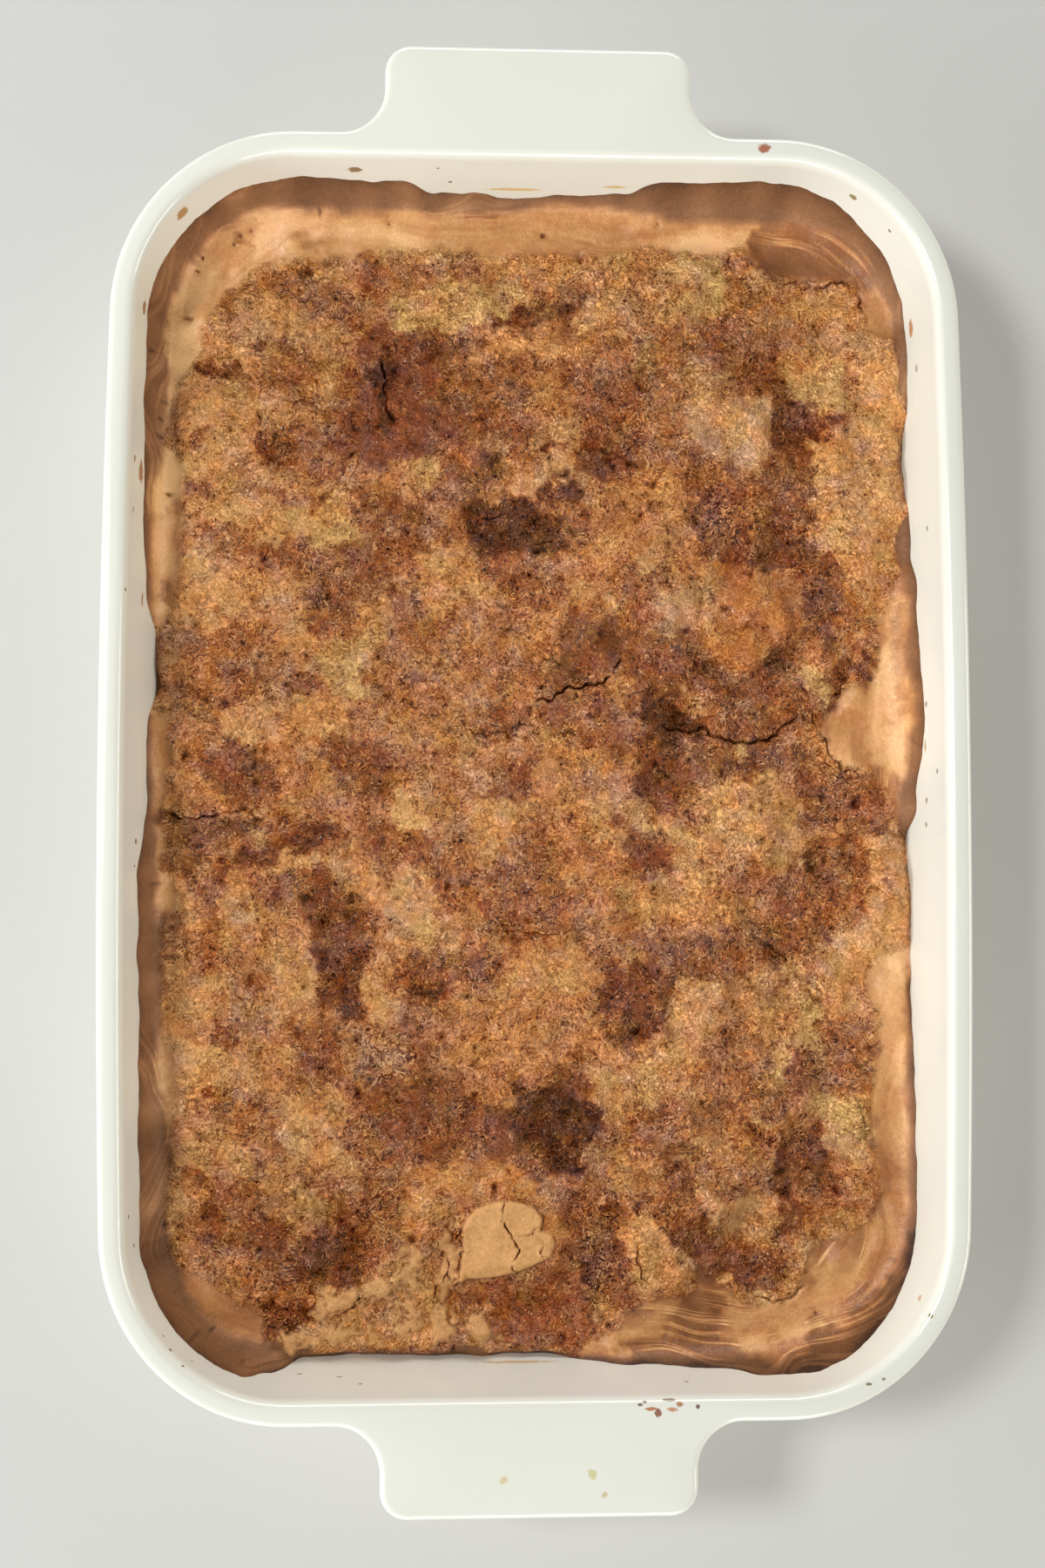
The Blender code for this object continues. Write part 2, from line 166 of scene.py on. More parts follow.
def make_dish():
    """One loft, from the floor over the rim and the tabs to the foot underneath."""
    rows = [(inset, None, height) for inset, height in reversed(inner_fillet(0.0, 10))]
    rows += [(wall_inset(height), None, height) for height in np.linspace(18, HEIGHT - WALL_TOP_DROP, 8)]
    for turn in np.radians(np.linspace(15, 90, 6)):
        rows.append((RIM_FLAT_INSET + (WALL_TOP_INSET - RIM_FLAT_INSET) * math.cos(turn), None,
                     HEIGHT - WALL_TOP_DROP * (1 - math.sin(turn))))
    for turn in np.radians(np.linspace(0, 90, 6)):
        inset = RIM_ROUND * (1 - math.sin(turn))
        rows.append((inset, inset, HEIGHT - RIM_ROUND * (1 - math.cos(turn))))
    for turn in np.radians(np.linspace(0, 90, 6)):
        ease = 1 - math.cos(turn)
        rows.append((FACE_DRAFT + 0.6 * ease, FACE_DRAFT + 2.0 * RIM_ROUND * ease,
                     HEIGHT - TAB_DEPTH + RIM_ROUND * (1 - math.sin(turn)) - 0.2 * ease))
    rows += [(TAB_ROOT_INSET + share * (WALL_BASE_INSET - TAB_ROOT_INSET), None,
              (HEIGHT - TAB_ROOT_DROP) * (1 - share) + OUTER_FILLET * share)
             for share in np.linspace(0.0, 0.95, 8)]
    base = arc((WALL_BASE_INSET + OUTER_FILLET, OUTER_FILLET), OUTER_FILLET, 180, 270, 8)
    rows += [(inset, None, height) for inset, height in base]
    foot_inner = WALL_BASE_INSET + OUTER_FILLET + FOOT_WIDTH
    rows += [(foot_inner, None, 0.0), (foot_inner + FOOT_STEP, None, FOOT_RECESS)]
    outlines = [np.column_stack((ring(inset, tab_inset), np.full(len(ring(0.0)), height)))
                for inset, tab_inset, height in rows]
    count = len(outlines[0])
    points = np.concatenate(outlines + [np.array([(0.0, 0.0, FLOOR), (0.0, 0.0, FOOT_RECESS)])])
    faces = join_rings(len(rows), 0, count)
    floor_middle = len(points) - 2
    base_middle = len(points) - 1
    last = (len(rows) - 1) * count
    for k in range(count):
        after = (k + 1) % count
        faces += [(floor_middle, k, after), (base_middle, last + after, last + k)]
    dish = add_mesh("baking_dish", points, faces)
    dish.data.set_sharp_from_angle(angle=math.radians(40))
    return dish


def linear(hex_colour):
    """An sRGB hex colour as the linear RGBA that a material takes."""
    levels = [int(hex_colour[k:k + 2], 16) / 255 for k in (1, 3, 5)]
    return tuple(c / 12.92 if c <= 0.04045 else ((c + 0.055) / 1.055) ** 2.4 for c in levels) + (1.0,)


def add(tree, kind, inputs=None, stops=None, **settings):
    """Add a node to a tree with its settings, its values and links, and a ramp's colour stops."""
    node = tree.nodes.new(kind)
    for name, value in settings.items():
        setattr(node, name, value)
    for socket, value in (inputs or {}).items():
        if isinstance(value, bpy.types.NodeSocket):
            tree.links.new(value, node.inputs[socket])
        else:
            node.inputs[socket].default_value = value
    for k, (place, shade) in enumerate(stops or ()):
        points = node.color_ramp.elements
        point = points[k] if k < 2 else points.new(place)
        point.position = place
        point.color = linear(shade) if isinstance(shade, str) else (shade, shade, shade, 1.0)
    return node


def new_material(name):
    """An empty Principled material: its tree and its shader."""
    material = bpy.data.materials.new(name)
    material.use_nodes = True
    return material, material.node_tree, material.node_tree.nodes["Principled BSDF"]


# Baked-on splashes on the glaze: place, half sizes and colour
SPLASHES = (
    (-51.2, 167.9, 51.2, 2.3, 1.5, 1.5, "#7D5A28"), (-24.5, 167.2, 45.6, 0.6, 0.7, 0.5, "#6E6450"),
    (-27.8, 168.1, 52.6, 0.5, 0.6, 0.5, "#8A8470"), (-98.6, 153.8, 53.4, 2.4, 2.8, 2.2, "#A9803F"),
    (89.3, 161.7, 53.0, 1.6, 1.2, 1.2, "#8A7A3C"), (99.8, 152.3, 52.4, 0.8, 0.8, 0.6, "#75736A"),
    (-6.3, 166.8, 42.2, 9.0, 1.2, 0.9, "#D8BC7C"), (22.9, 167.0, 44.4, 4.0, 1.2, 0.8, "#D8BC7C"),
    (-110.2, 82.5, 47.7, 1.2, 3.6, 2.2, "#9A6334"), (-110.9, 85.0, 53.3, 0.7, 1.2, 0.9, "#9A7A5A"),
    (-111.1, 70.6, 53.2, 0.6, 1.1, 0.6, "#A68A6A"), (-109.4, 128.2, 50.0, 0.9, 2.6, 1.4, "#9C6038"),
    (-112.1, 47.8, 57.9, 0.7, 0.6, 0.6, "#7A5A44"), (-110.2, 47.2, 43.8, 0.7, 2.6, 0.8, "#A87A50"),
    (-110.7, -20.2, 46.2, 0.8, 0.9, 0.9, "#5E4630"), (-110.8, -27.0, 47.2, 0.6, 0.6, 0.5, "#7A6248"),
    (-110.1, -120.9, 53.4, 0.7, 0.8, 0.6, "#84684A"), (-109.3, -129.3, 50.0, 0.7, 0.7, 0.6, "#84684A"),
    (109.2, 115.4, 44.7, 0.7, 1.4, 0.9, "#A79AA0"), (108.4, 128.0, 42.1, 1.0, 2.8, 1.6, "#B57A48"),
    (110.5, 68.3, 48.4, 0.7, 0.9, 0.7, "#7F8578"), (110.5, 18.8, 45.0, 0.7, 1.0, 0.8, "#9A927C"),
    (110.4, 7.2, 44.0, 0.7, 2.0, 0.8, "#B09A78"), (111.5, -0.6, 51.8, 0.6, 0.8, 0.6, "#8C8674"),
    (110.5, -8.5, 44.4, 0.7, 1.2, 0.8, "#9A8460"), (110.4, -15.3, 44.0, 0.7, 0.9, 0.7, "#8C6A3C"),
    (104.6, -145.1, 52.2, 1.0, 1.2, 1.0, "#C8A98A"), (105.4, -147.9, 59.7, 0.8, 0.8, 0.8, "#8A8046"),
    (-98.0, -155.2, 57.2, 0.6, 0.5, 0.5, "#6A5038"), (-100.3, -152.1, 54.7, 0.9, 0.4, 0.4, "#94785A"),
    (-94.5, -159.1, 58.5, 0.8, 0.4, 0.4, "#7A6044"), (-92.9, -159.2, 53.3, 0.5, 0.4, 0.4, "#94785A"),
    (-65.3, -166.6, 41.2, 1.0, 0.8, 0.4, "#A8926E"), (-54.3, -166.9, 43.4, 1.2, 0.8, 0.4, "#A8926E"),
    (-48.2, -167.5, 48.0, 0.8, 0.7, 0.4, "#8C745A"), (-5.1, -165.8, 35.3, 13.0, 1.5, 1.0, "#D2B48A"),
    (34.7, -169.4, 59.0, 1.9, 0.8, 0.6, "#8A7654"), (28.0, -169.7, 59.4, 0.7, 0.7, 0.5, "#8A7654"),
    (40.7, -167.7, 49.3, 0.7, 0.7, 0.5, "#9C927C"), (88.3, -165.7, 60.0, 0.9, 0.5, 0.8, "#7A6A44"),
    (92.3, -164.4, 60.0, 0.6, 0.5, 0.8, "#8C8062"), (62.9, 172.2, 60.0, 2.0, 1.5, 1.2, "#A4582F"),
    (26.9, -170.3, 60.0, 0.9, 0.5, 0.6, "#6E5A48"), (29.6, -171.4, 60.0, 1.7, 0.6, 0.8, "#B8703C"),
    (31.6, -172.4, 60.0, 1.1, 1.4, 0.8, "#8A4E30"), (35.4, -171.6, 60.0, 1.8, 0.7, 0.8, "#C48A5C"),
    (37.4, -170.2, 60.0, 1.0, 0.9, 0.8, "#B47A50"), (42.2, -171.0, 60.0, 0.6, 0.7, 0.8, "#6A4434"),
    (36.4, -166.4, 60.0, 2.0, 0.6, 0.8, "#8E7E5E"), (-9.6, -189.4, 60.0, 1.3, 1.2, 0.8, "#D6CB9C"),
    (13.9, -188.2, 60.0, 1.5, 1.6, 0.8, "#D2CC96"), (17.2, -193.6, 60.0, 0.9, 0.9, 0.8, "#D0C09C"),
)

# Glazed stoneware: a clear coat of glass over a cream-white body. The eye sees a soft, even
# cream with sharp reflections, a little greener where the glaze lies thick, and brown splashes.
glaze, tree, shader = new_material("cream-white stoneware glaze")
place = add(tree, "ShaderNodeTexCoord").outputs["Object"]
cloud = add(tree, "ShaderNodeTexNoise", {"Vector": place, "Scale": 1000 / 60.0, "Detail": 2.0})
cream = add(tree, "ShaderNodeValToRGB", {"Fac": cloud.outputs["Fac"]},
            stops=[(0.3, "#E4E5D8"), (0.7, "#E9E9DE")])
shade = cream.outputs["Color"]
fray = add(tree, "ShaderNodeTexNoise", {"Vector": place, "Scale": 1000 / 1.4, "Detail": 2.0}).outputs["Fac"]
for x, y, z, half_x, half_y, half_z, colour in SPLASHES:
    away = add(tree, "ShaderNodeVectorMath", {0: place, 1: (x * MM, y * MM, z * MM)},
               operation="SUBTRACT").outputs[0]
    away = add(tree, "ShaderNodeVectorMath", {0: away, 1: (1000 / half_x, 1000 / half_y, 1000 / half_z)},
               operation="MULTIPLY").outputs[0]
    away = add(tree, "ShaderNodeVectorMath", {0: away}, operation="LENGTH").outputs["Value"]
    away = add(tree, "ShaderNodeMath", {0: fray, 1: away}, operation="ADD").outputs[0]
    cover = add(tree, "ShaderNodeMapRange", {"Value": away, "From Min": 1.15, "From Max": 1.5,
                                             "To Min": 0.9, "To Max": 0.0}).outputs[0]
    shade = add(tree, "ShaderNodeMix", {0: cover, 6: shade, 7: linear(colour)}, data_type="RGBA").outputs[2]
ripple = add(tree, "ShaderNodeTexNoise", {"Vector": place, "Scale": 1000 / 9.0, "Detail": 1.0})
wave = add(tree, "ShaderNodeBump", {"Height": ripple.outputs["Fac"], "Strength": 0.10, "Distance": 0.0004})
tree.links.new(shade, shader.inputs["Base Color"])
tree.links.new(wave.outputs["Normal"], shader.inputs["Normal"])
shader.inputs["Roughness"].default_value = 0.14
shader.inputs["IOR"].default_value = 1.52

baking_dish = make_dish()
baking_dish.data.materials.append(glaze)
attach(baking_dish, "root")
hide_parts("dish")

# ------------------------------------------------------------------------------- Cake
# Boxed cake mix baked over tinned fruit and its syrup. Where syrup soaked up, the crust is dark,
# sunken and sticky, and where the dry mix only toasted it is pale gold and crumbly. Filling that
# rose at the edge has baked into smooth skins, and climbs the wall as a thin film.
CRUST_LEVEL = 33.0            # middle height of the crust over the dish's foot
GAP = 0.3                     # clear space between the cake's side and the dish
SIDE_DEPTH = 8.0              # the side follows the crust's edge down to this far below its level
CRUST_SWELL = (1.6, 46.0, 3.7)                # height, size and seed of the crust's slow swells
CRUST_LUMPS = (2.2, 15.0, 9.1)
CRUST_CRUMBS = (1.8, 7.0, 5.3)
FILM_STEEP = (0.7, 1.7)       # share of the film's climb that clings to the wall, and how far it reaches
FILM_GENTLE = (0.3, 8.0)      # the rest eases out over the crust
FILM_UNEVEN = ((1.6, 9.0), (0.6, 3.2))        # heights and sizes of the film's uneven edge
SHOULDER_DROP = 1.6           # where no film climbs, the crust rounds down to the wall by this
SHOULDER_WIDTH = 1.3
SKIN_DROP = 0.9               # smooth skins lie lower than the crumbly crust
SKIN_CALM = 0.85              # and have this much less relief
# Relief of the crust, as in the solid: x, y, half length, half width, turn in degrees and height
MOUNDS = (
    (62, 43, 13, 12, 0, 1.6), (-68, -35, 11, 10, 0, 1.0), (55, 100, 13, 11, 0, 1.8),
    (40, 47, 9, 9, 0, 1.2), (61, -16, 15, 11, 70, 1.8), (96, 98, 44, 12, 88, 1.8),
    (-78, 98, 42, 26, 80, 1.0), (-82, -90, 27, 22, 90, 1.0), (20, 134, 9, 7, 0, 1.4),
    (-20, 136, 8, 7, 0, 1.2), (-36, -8, 10, 7, 30, 1.2), (103, -42, 22, 7, 90, 1.2),
    (53, -124, 9, 6, 0, 1.6), (88, -101, 8, 6, 60, 1.6), (35, -135, 14, 8, 100, 1.3),
    (-45, -52, 14, 9, 110, 1.0), (-66, 14, 20, 6, 15, 1.2), (48, -66, 9, 6, 40, 1.4),
    (-57, -147, 9, 5, 10, 2.4), (-45, -143, 8, 6, 40, 2.2), (-35, -134, 8, 5, 60, 1.8),
    (-40, -155, 9, 4, 0, 1.8), (-14, -154, 11, 5, 0, 1.6), (-66, -157, 9, 3, 20, 1.4),
)
HOLLOWS = (
    (-25, 96, 33, 25, 90, -1.5), (-9, 73, 11, 8, 0, -1.8), (12, -101, 15, 14, 0, -2.4),
    (76, 84, 26, 10, 85, -1.8), (60, -138, 15, 13, 0, -1.8), (84, -26, 23, 14, 90, -1.2),
    (42, 6, 15, 10, 60, -2.0), (-80, -16, 27, 7, 175, -1.4), (-88, 35, 9, 8, 0, -1.2),
    (26, -64, 14, 10, 90, -1.2), (-70, -131, 27, 8, 0, -1.4), (16, -136, 20, 9, 85, -1.4),
    (79, -112, 16, 10, 90, -1.6), (-8, -148, 20, 8, 5, -2.0), (20, 104, 18, 11, 80, -1.0),
    (-90, 82, 8, 6, 0, -1.2), (-84, 116, 12, 7, 0, -1.2), (5, 132, 14, 6, 0, -1.2),
    (-45, 9, 16, 11, 0, -1.2), (-55, -45, 17, 8, 90, -1.2), (63, -49, 12, 8, 0, -1.4),
    (-25, -86, 28, 22, 20, -1.0), (-72, -147, 9, 8, 0, -1.6), (17, 33, 15, 10, 0, -1.3),
    (85, 22, 12, 5, 50, -1.6),
)
MOAT_CENTRE = (62, 43)        # sunken ring round a smooth disc
MOAT_IN = 15.0
MOAT_OUT = 23.0
MOAT_DEPTH = -2.0
# Cracks: half width, depth and path. The first nine are in the solid too, the others are fine.
CRACKS = (
    (0.9, 3.0, ((0, 20), (4, 21), (8, 23.4), (12, 24.6), (17, 25), (20.5, 26.4), (23, 29), (25.5, 33))),
    (1.1, 3.2, ((37, 13), (45, 12.6), (50, 13), (52, 10.5), (56, 8.5), (62, 8), (68, 10), (73, 13),
                (76, 17))),
    (1.0, 2.2, ((-44, 122), (-43.5, 113), (-42.5, 105), (-41, 98))),
    (0.8, 1.8, ((-105, -12), (-98, -13.4), (-90, -12.4), (-84, -11), (-78, -13.4))),
    (0.7, 2.2, ((-20.6, -127), (-20.8, -133), (-21, -139), (-23, -144))),
    (0.6, 2.6, ((-8.8, -121), (-8.6, -125), (-8, -129), (-6.4, -132), (-4.6, -134.6), (-5.6, -137),
                (-6, -139.5), (-5, -142))),
    (0.9, 2.0, ((62.5, -46.5), (66, -49.4), (69, -51), (73.5, -54.5))),
    (0.7, 1.8, ((29.4, -133), (29, -139), (30.3, -143.4), (33, -145))),
    (0.9, 1.8, ((69, 146), (72, 144), (80, 142.6), (83, 142), (86, 144), (90, 144.6), (94, 142),
                (96, 138), (96, 133))),
    (0.6, 1.4, ((-21, 11.6), (-15, 11), (-8, 11), (-4, 13.5), (-1, 14.6), (2, 13))),
    (0.5, 1.2, ((-13, -45.6), (-4, -45.6), (2, -46.4), (8, -46))), (0.5, 1.2, ((43.5, 124), (47, 125.6))),
    (0.6, 1.3, ((-74, 107), (-70, 106), (-65, 107.5))), (0.5, 1.3, ((-80, 99), (-78.4, 104), (-76, 103))),
    (0.5, 1.4, ((90.5, -93.5), (93, -96.5), (94, -100), (95.8, -104.8))),
    (0.5, 1.4, ((1, 31), (5, 33), (8, 32.4), (9.4, 30))), (0.5, 1.0, ((48, 100.6), (50.4, 103.4))),
    (0.4, 1.4, ((-6.5, -131.2), (-2, -130.6), (2, -129.6))),
    (0.4, 1.4, ((1, -131.6), (2, -135), (3.4, -137.6))),
    (0.5, 1.6, ((-26.8, -130.6), (-27.2, -134), (-26.8, -137.6))),
    (0.5, 1.6, ((-24, -135.6), (-24.4, -139.5), (-26, -143), (-28, -146.6), (-28.6, -151.4))),
    (0.6, 1.8, ((-59, -154), (-53, -152.6), (-50.3, -150.4), (-49, -147), (-48.4, -144))),
    (0.7, 1.6, ((-16.5, 73.6), (-13, 74.4), (-10.6, 74.6), (-8.4, 76.2))),
    (0.6, 1.6, ((-2.4, 72.6), (3, 74.2), (8.6, 72.4))), (0.6, 1.6, ((1.6, 66.2), (4, 66.8), (6.6, 68))),
    (0.5, 1.4, ((-97, -106), (-94, -104.4), (-91.6, -104.2))),
    (0.6, 1.6, ((80, 19), (82.4, 12), (85, 6), (89, 0.8), (94, 0.6))),
    (0.5, 1.2, ((82.5, 18.6), (86, 21), (89, 25), (91, 27))),
    (0.7, 1.8, ((62, -150), (67, -150.8), (71, -150), (74, -148.4), (76, -144.4))),
    (0.5, 1.2, ((-106, -47), (-105.4, -51), (-102, -53.6), (-97, -50))),
    (0.6, 1.2, ((24, 93), (26.6, 92), (28.6, 96))), (0.5, 1.2, ((-67, -117), (-67.6, -121.6))),
    (0.5, 1.2, ((56.5, 16.4), (58.4, 14.6), (60.6, 12.4))),
)
# Unmixed dry cake mix: a low plate with a broken edge
PLATE = ((-20.3, -128), (-19, -125.5), (-16, -123), (-12.5, -121.8), (-9, -121), (-4, -121.7), (0, -123.5),
         (2.5, -126.5), (1.8, -129.5), (5, -131), (5.8, -134), (4.5, -137.5), (-1, -140), (-6, -141.8),
         (-12, -143), (-19, -143.2), (-23, -143.8), (-21.6, -140), (-20.6, -136))
PLATE_RISE = 2.4
PLATE_EDGE = 0.7
# Other lumps of dry mix: rise and outline
LUMPS = (
    (2.0, ((-20.9, -129.5), (-22.5, -127.6), (-25.3, -128.8), (-27.2, -131.5), (-27.4, -136),
           (-26.4, -141), (-29, -147), (-28.6, -151), (-25.6, -147), (-23, -144.4), (-21.2, -139))),
    (1.4, ((-29, -152), (-26, -148.4), (-24.4, -150.6), (-22, -153), (-24, -156.5), (-24.5, -160.5),
           (-27.5, -160.8), (-28.8, -156))),
    (1.6, ((-63, -147.6), (-58, -146), (-52, -145.6), (-49, -144.4), (-49.4, -149.6), (-52, -151.6),
           (-56, -153), (-60, -152.8), (-62.5, -150))),
    (1.3, ((-72, -161), (-68, -159), (-62, -157.6), (-59.6, -158), (-60, -161), (-64, -162),
           (-69, -162.4))),
    (1.5, ((-59, -157), (-55, -155.3), (-51, -153.6), (-50, -157), (-51, -161.5), (-56, -162),
           (-58.5, -160))),
    (1.3, ((-48.6, -157.5), (-44, -156.2), (-41.8, -158), (-43, -161), (-48, -161.4))),
    (1.4, ((-41, -157), (-37, -154), (-33.2, -153.2), (-31.6, -155.4), (-35, -157.6), (-38.5, -158.8))),
    (1.6, ((-48.3, -145.4), (-45, -142.2), (-41, -141.2), (-39.5, -144), (-41, -147.6), (-45, -149.2),
           (-47.6, -148.4))),
    (1.5, ((-39.6, -139), (-37, -134.3), (-34.8, -133.4), (-32.6, -137), (-30.8, -142), (-33, -146),
           (-37.4, -143.5))),
    (1.3, ((-39.4, -148), (-35, -146.8), (-31.2, -149), (-31.6, -152.2), (-36, -152.8), (-39.8, -151))),
    (1.7, ((-20.4, -153.5), (-17.4, -154.8), (-15.8, -151.8), (-11.2, -154), (-11, -157.5),
           (-9.6, -160.6), (-12.6, -160), (-14, -162.6), (-17.4, -161.8), (-18.4, -157))),
    (1.0, ((50, -127), (50.6, -124), (53.4, -123.4), (55, -126), (54, -129), (51.4, -129.4))),
    (0.8, ((55.4, -124.4), (57, -121.6), (60, -122.4), (60.4, -125.4), (57.4, -126.6))),
    (0.8, ((55.4, -130), (56.4, -127.4), (59.6, -127.2), (60.6, -130), (58, -132))),
    (1.0, ((64, 147.4), (64.6, 145.4), (66.8, 145.4), (66.8, 147.2))),
    (0.8, ((84.6, -104), (88, -102.6), (91, -105), (90, -109.6), (86.4, -109.4))),
)
# Smooth baked-on skins, as in the solid: x, y, half sizes and turn
SKINS = (
    (-92, 152, 26, 15, 40), (-15, 158, 62, 7, 0), (51, 160, 20, 8, 0), (86, 154, 26, 13, -35),
    (104, 22, 36, 8, 90), (104, -118, 34, 7, 95), (72, -154, 48, 10, 14), (-95, -150, 20, 12, -40),
    (-106, 75, 30, 6, 90), (-106, -38, 12, 6, 90),
)
# Where the smooth skins lie in full: far side, left wall in two lengths, near right, right wall
SKIN_AREAS = (
    ((-106, 95), (-103, 103), (-99, 113), (-96, 122), (-93, 130), (-90, 137), (-85, 142), (-80, 147),
     (-68, 148.5), (-62, 147), (-52, 149), (-45, 151), (-30, 152), (-12, 150.5), (10, 151), (22, 150.5),
     (27, 152), (33, 154), (40, 152), (50, 151), (56, 152), (60, 156), (64, 148), (70, 145.5), (80, 144),
     (90, 145), (95, 143), (97, 136), (97, 131), (102, 127), (106, 126), (118, 135), (118, 180),
     (-118, 180), (-118, 98)),
    ((-120, 92), (-108, 93), (-101, 90), (-100, 84), (-101, 76), (-100, 68), (-101, 58), (-103, 48),
     (-106, 42), (-120, 42)),
    ((-120, 18), (-106, 18), (-103, 12), (-103.5, 4), (-105, -4), (-105.5, -28), (-102, -31), (-100.5, -37),
     (-103, -42), (-105, -48), (-105.5, -60), (-106, -68), (-103, -76), (-101, -88), (-101, -100),
     (-102, -112), (-104, -122), (-104, -132), (-101, -138.5), (-92, -142), (-84, -148), (-78, -150),
     (-75.5, -155), (-74, -160), (-70, -161), (-68, -180), (-120, -180)),
    ((11, -163), (18, -160), (24, -157), (26, -152), (32, -150), (40, -149.5), (45, -149), (46, -141),
     (51, -142.5), (55, -148), (60, -151), (67, -152), (74, -150), (77, -144), (79, -136), (84, -133.5),
     (90, -131), (96, -128), (99, -118), (97, -108), (95, -98), (97, -90), (99, -80), (99, -70), (95, -62),
     (98, -54), (103, -52), (108, -50), (120, -50), (120, -180), (11, -180)),
    ((83, 17), (84, 10), (86, 5), (90, 1), (97, 1.5), (100, -3), (104, -9), (106, -16), (108, -21),
     (120, -21), (120, 60), (108, 60), (103, 54), (101, 46), (100, 38), (98, 30), (95, 26), (90, 24),
     (86, 20)),
)
# How far the film climbs the wall over the crust, at places along each wall
CLIMB = {
    "right": ((-128, 5), (-100, 3), (-70, 1), (-45, 0), (-22, 0), (-8, 6), (15, 12), (50, 8),
              (75, 4), (90, 0), (105, 0), (122, 5)),
    "far": ((80, 16), (58, 16), (38, 14), (27, 7), (0, 5), (-30, 6), (-40, 12), (-60, 13), (-82, 15)),
    "left": ((122, 14), (70, 12), (53, 8), (43, 0), (27, -2), (12, 5), (-8, 5), (-35, 12),
             (-60, 11), (-120, 12)),
    "near": ((-86, 16), (-78, 9), (-69, -1), (-45, -2), (-22, 0), (0, -2), (15, 2), (30, 6),
             (52, 10), (66, 13), (84, 14)),
}
# How far the brown film reaches in from the wall, at places along each wall
FILM_REACH = {
    "right": ((-174, 1.6), (-145, 1.2), (-100, 1.2), (-70, 0.8), (-60, 0), (-23, 0), (-17, 2.4), (-8, 3),
              (0, 1.4), (25, 1.2), (40, 1.6), (52, 1), (60, 2.4), (78, 2.8), (83, 0), (112, 0),
              (118, 0.8), (126, 2), (134, 2.6), (150, 2.2), (172, 2)),
    "far": ((103, 2), (88, 3), (74, 4.6), (60, 5.2), (45, 4.8), (35, 3.4), (27, 2), (10, 0.8), (0, 1.2),
            (-12, 2.4), (-20, 3.6), (-30, 3.4), (-40, 3), (-50, 3.6), (-60, 4), (-70, 3.4), (-80, 2.8),
            (-96, 2.4), (-112, 2.4)),
    "left": ((168, 2.6), (140, 2.8), (128, 3), (115, 3), (100, 2.6), (94, 1.6), (88, 0.8), (60, 0.8),
             (45, 0.4), (42, 0), (20, 0), (16, 0.6), (-10, 0.8), (-22, 1.8), (-30, 2.6), (-44, 2.2),
             (-60, 3.6), (-75, 3), (-90, 2.8), (-97, 3.2), (-110, 4.4), (-125, 5.4), (-140, 4.8),
             (-155, 4.4)),
    "near": ((-117, 4), (-106, 3.6), (-96, 3.4), (-88, 4.4), (-77, 5.2), (-70, 3.6), (-66, 0.8),
             (-45, 0.4), (-27, 0.6), (-24, 3), (-18, 2.6), (-13, 0.6), (12, 0.6), (25, 0.8), (60, 1.2),
             (90, 1.4), (107, 1.6)),
}
# Blisters and larger holes: place, radius and depth
HOLES = (
    (-85, 155, 1.0, 1.6), (-82, 156.5, 0.7, 1.2), (-87, 152.5, 0.7, 1.2), (-96, 148, 0.8, 1.2),
    (-97, 144, 0.7, 1.0), (2.5, 157, 1.1, 1.8), (-105, 79, 1.1, 2.0), (-108, 118, 0.7, 1.2),
    (-106, 105, 0.8, 1.4), (-106.5, 100, 0.7, 1.2), (-107, 95, 0.9, 1.4), (-107, -32, 0.8, 1.4),
    (-90, -155.5, 0.8, 1.2), (80, -154, 0.9, 1.4), (31, 112, 1.0, 1.8), (48, -62, 0.8, 1.6),
    (53, -60, 0.9, 1.6), (44, -66, 0.8, 1.4), (57, -66, 0.8, 1.4), (40, -62, 0.7, 1.2),
    (98, 27, 0.8, 1.6), (-47, 126, 0.9, 1.6), (-79, 102, 1.0, 1.6), (-88, 80, 1.0, 1.4),
    (71, -9, 0.9, 1.4), (62, -10, 0.9, 1.4), (66, -3, 0.8, 1.4), (8, -160, 1.6, 1.2),
)
# Spacing of the mesh's points on the crust, on the skins, round the lumps of dry mix, where cracks
# and pores are, and along the wall
CRUST_PITCH = 1.08
SKIN_PITCH = 1.5
CLOSE_PITCH = 0.66
FEATURE_PITCH = 0.36
EDGE_PITCH = 1.0
CLOSE_AREA = (-32, -143, 44, 15, 15)
FILM_GAPS = (0.5, 1.1, 1.8, 2.7, 3.7)         # rings of points on the film, from the wall inwards
EDGE_GAP = -0.36              # the film's edge sticks to the dish, across the solids' gap
TEAR_WIDTH = 0.6              # a torn crack is this much narrower than its row says
TEAR_DEPTH = 0.65             # and this much shallower
TEAR_SWAY = 0.8
LIP_RISE = 0.35               # crust turned up along a crack
PORE_LIP = 0.12               # and round a pore
PIT_COUNT = 650
LUMP_SWAY = ((4.5, 5.0), (2.4, 1.8))          # how unevenly the lumps' edges run
SOAK_DROP = 0.9               # how far the soaked brown places have sunk below the golden ones


def smooth(value):
    """0 below 0, 1 above 1, and an easy curve between."""
    value = np.clip(value, 0.0, 1.0)
    return value * value * (3 - 2 * value)


def relief(x, y, height, size, seed):
    """Smooth uneven relief of a stated height and size, different for each seed."""
    return height * np.array([noise.noise((a, b, seed)) for a, b in zip(x / size, y / size)])


def uneven(values, x, y, layers, seed):
    """Values with layers of relief added, each given as height and size."""
    return sum((relief(x, y, *layer, seed + 2 * k) for k, layer in enumerate(layers)), values)


def oval_reach(x, y, shape):
    """Distance from an oval's middle, where 1 is its edge."""
    turn = math.radians(shape[4])
    east = x - shape[0]
    north = y - shape[1]
    along = east * math.cos(turn) + north * math.sin(turn)
    across = north * math.cos(turn) - east * math.sin(turn)
    return np.hypot(along / shape[2], across / shape[3])


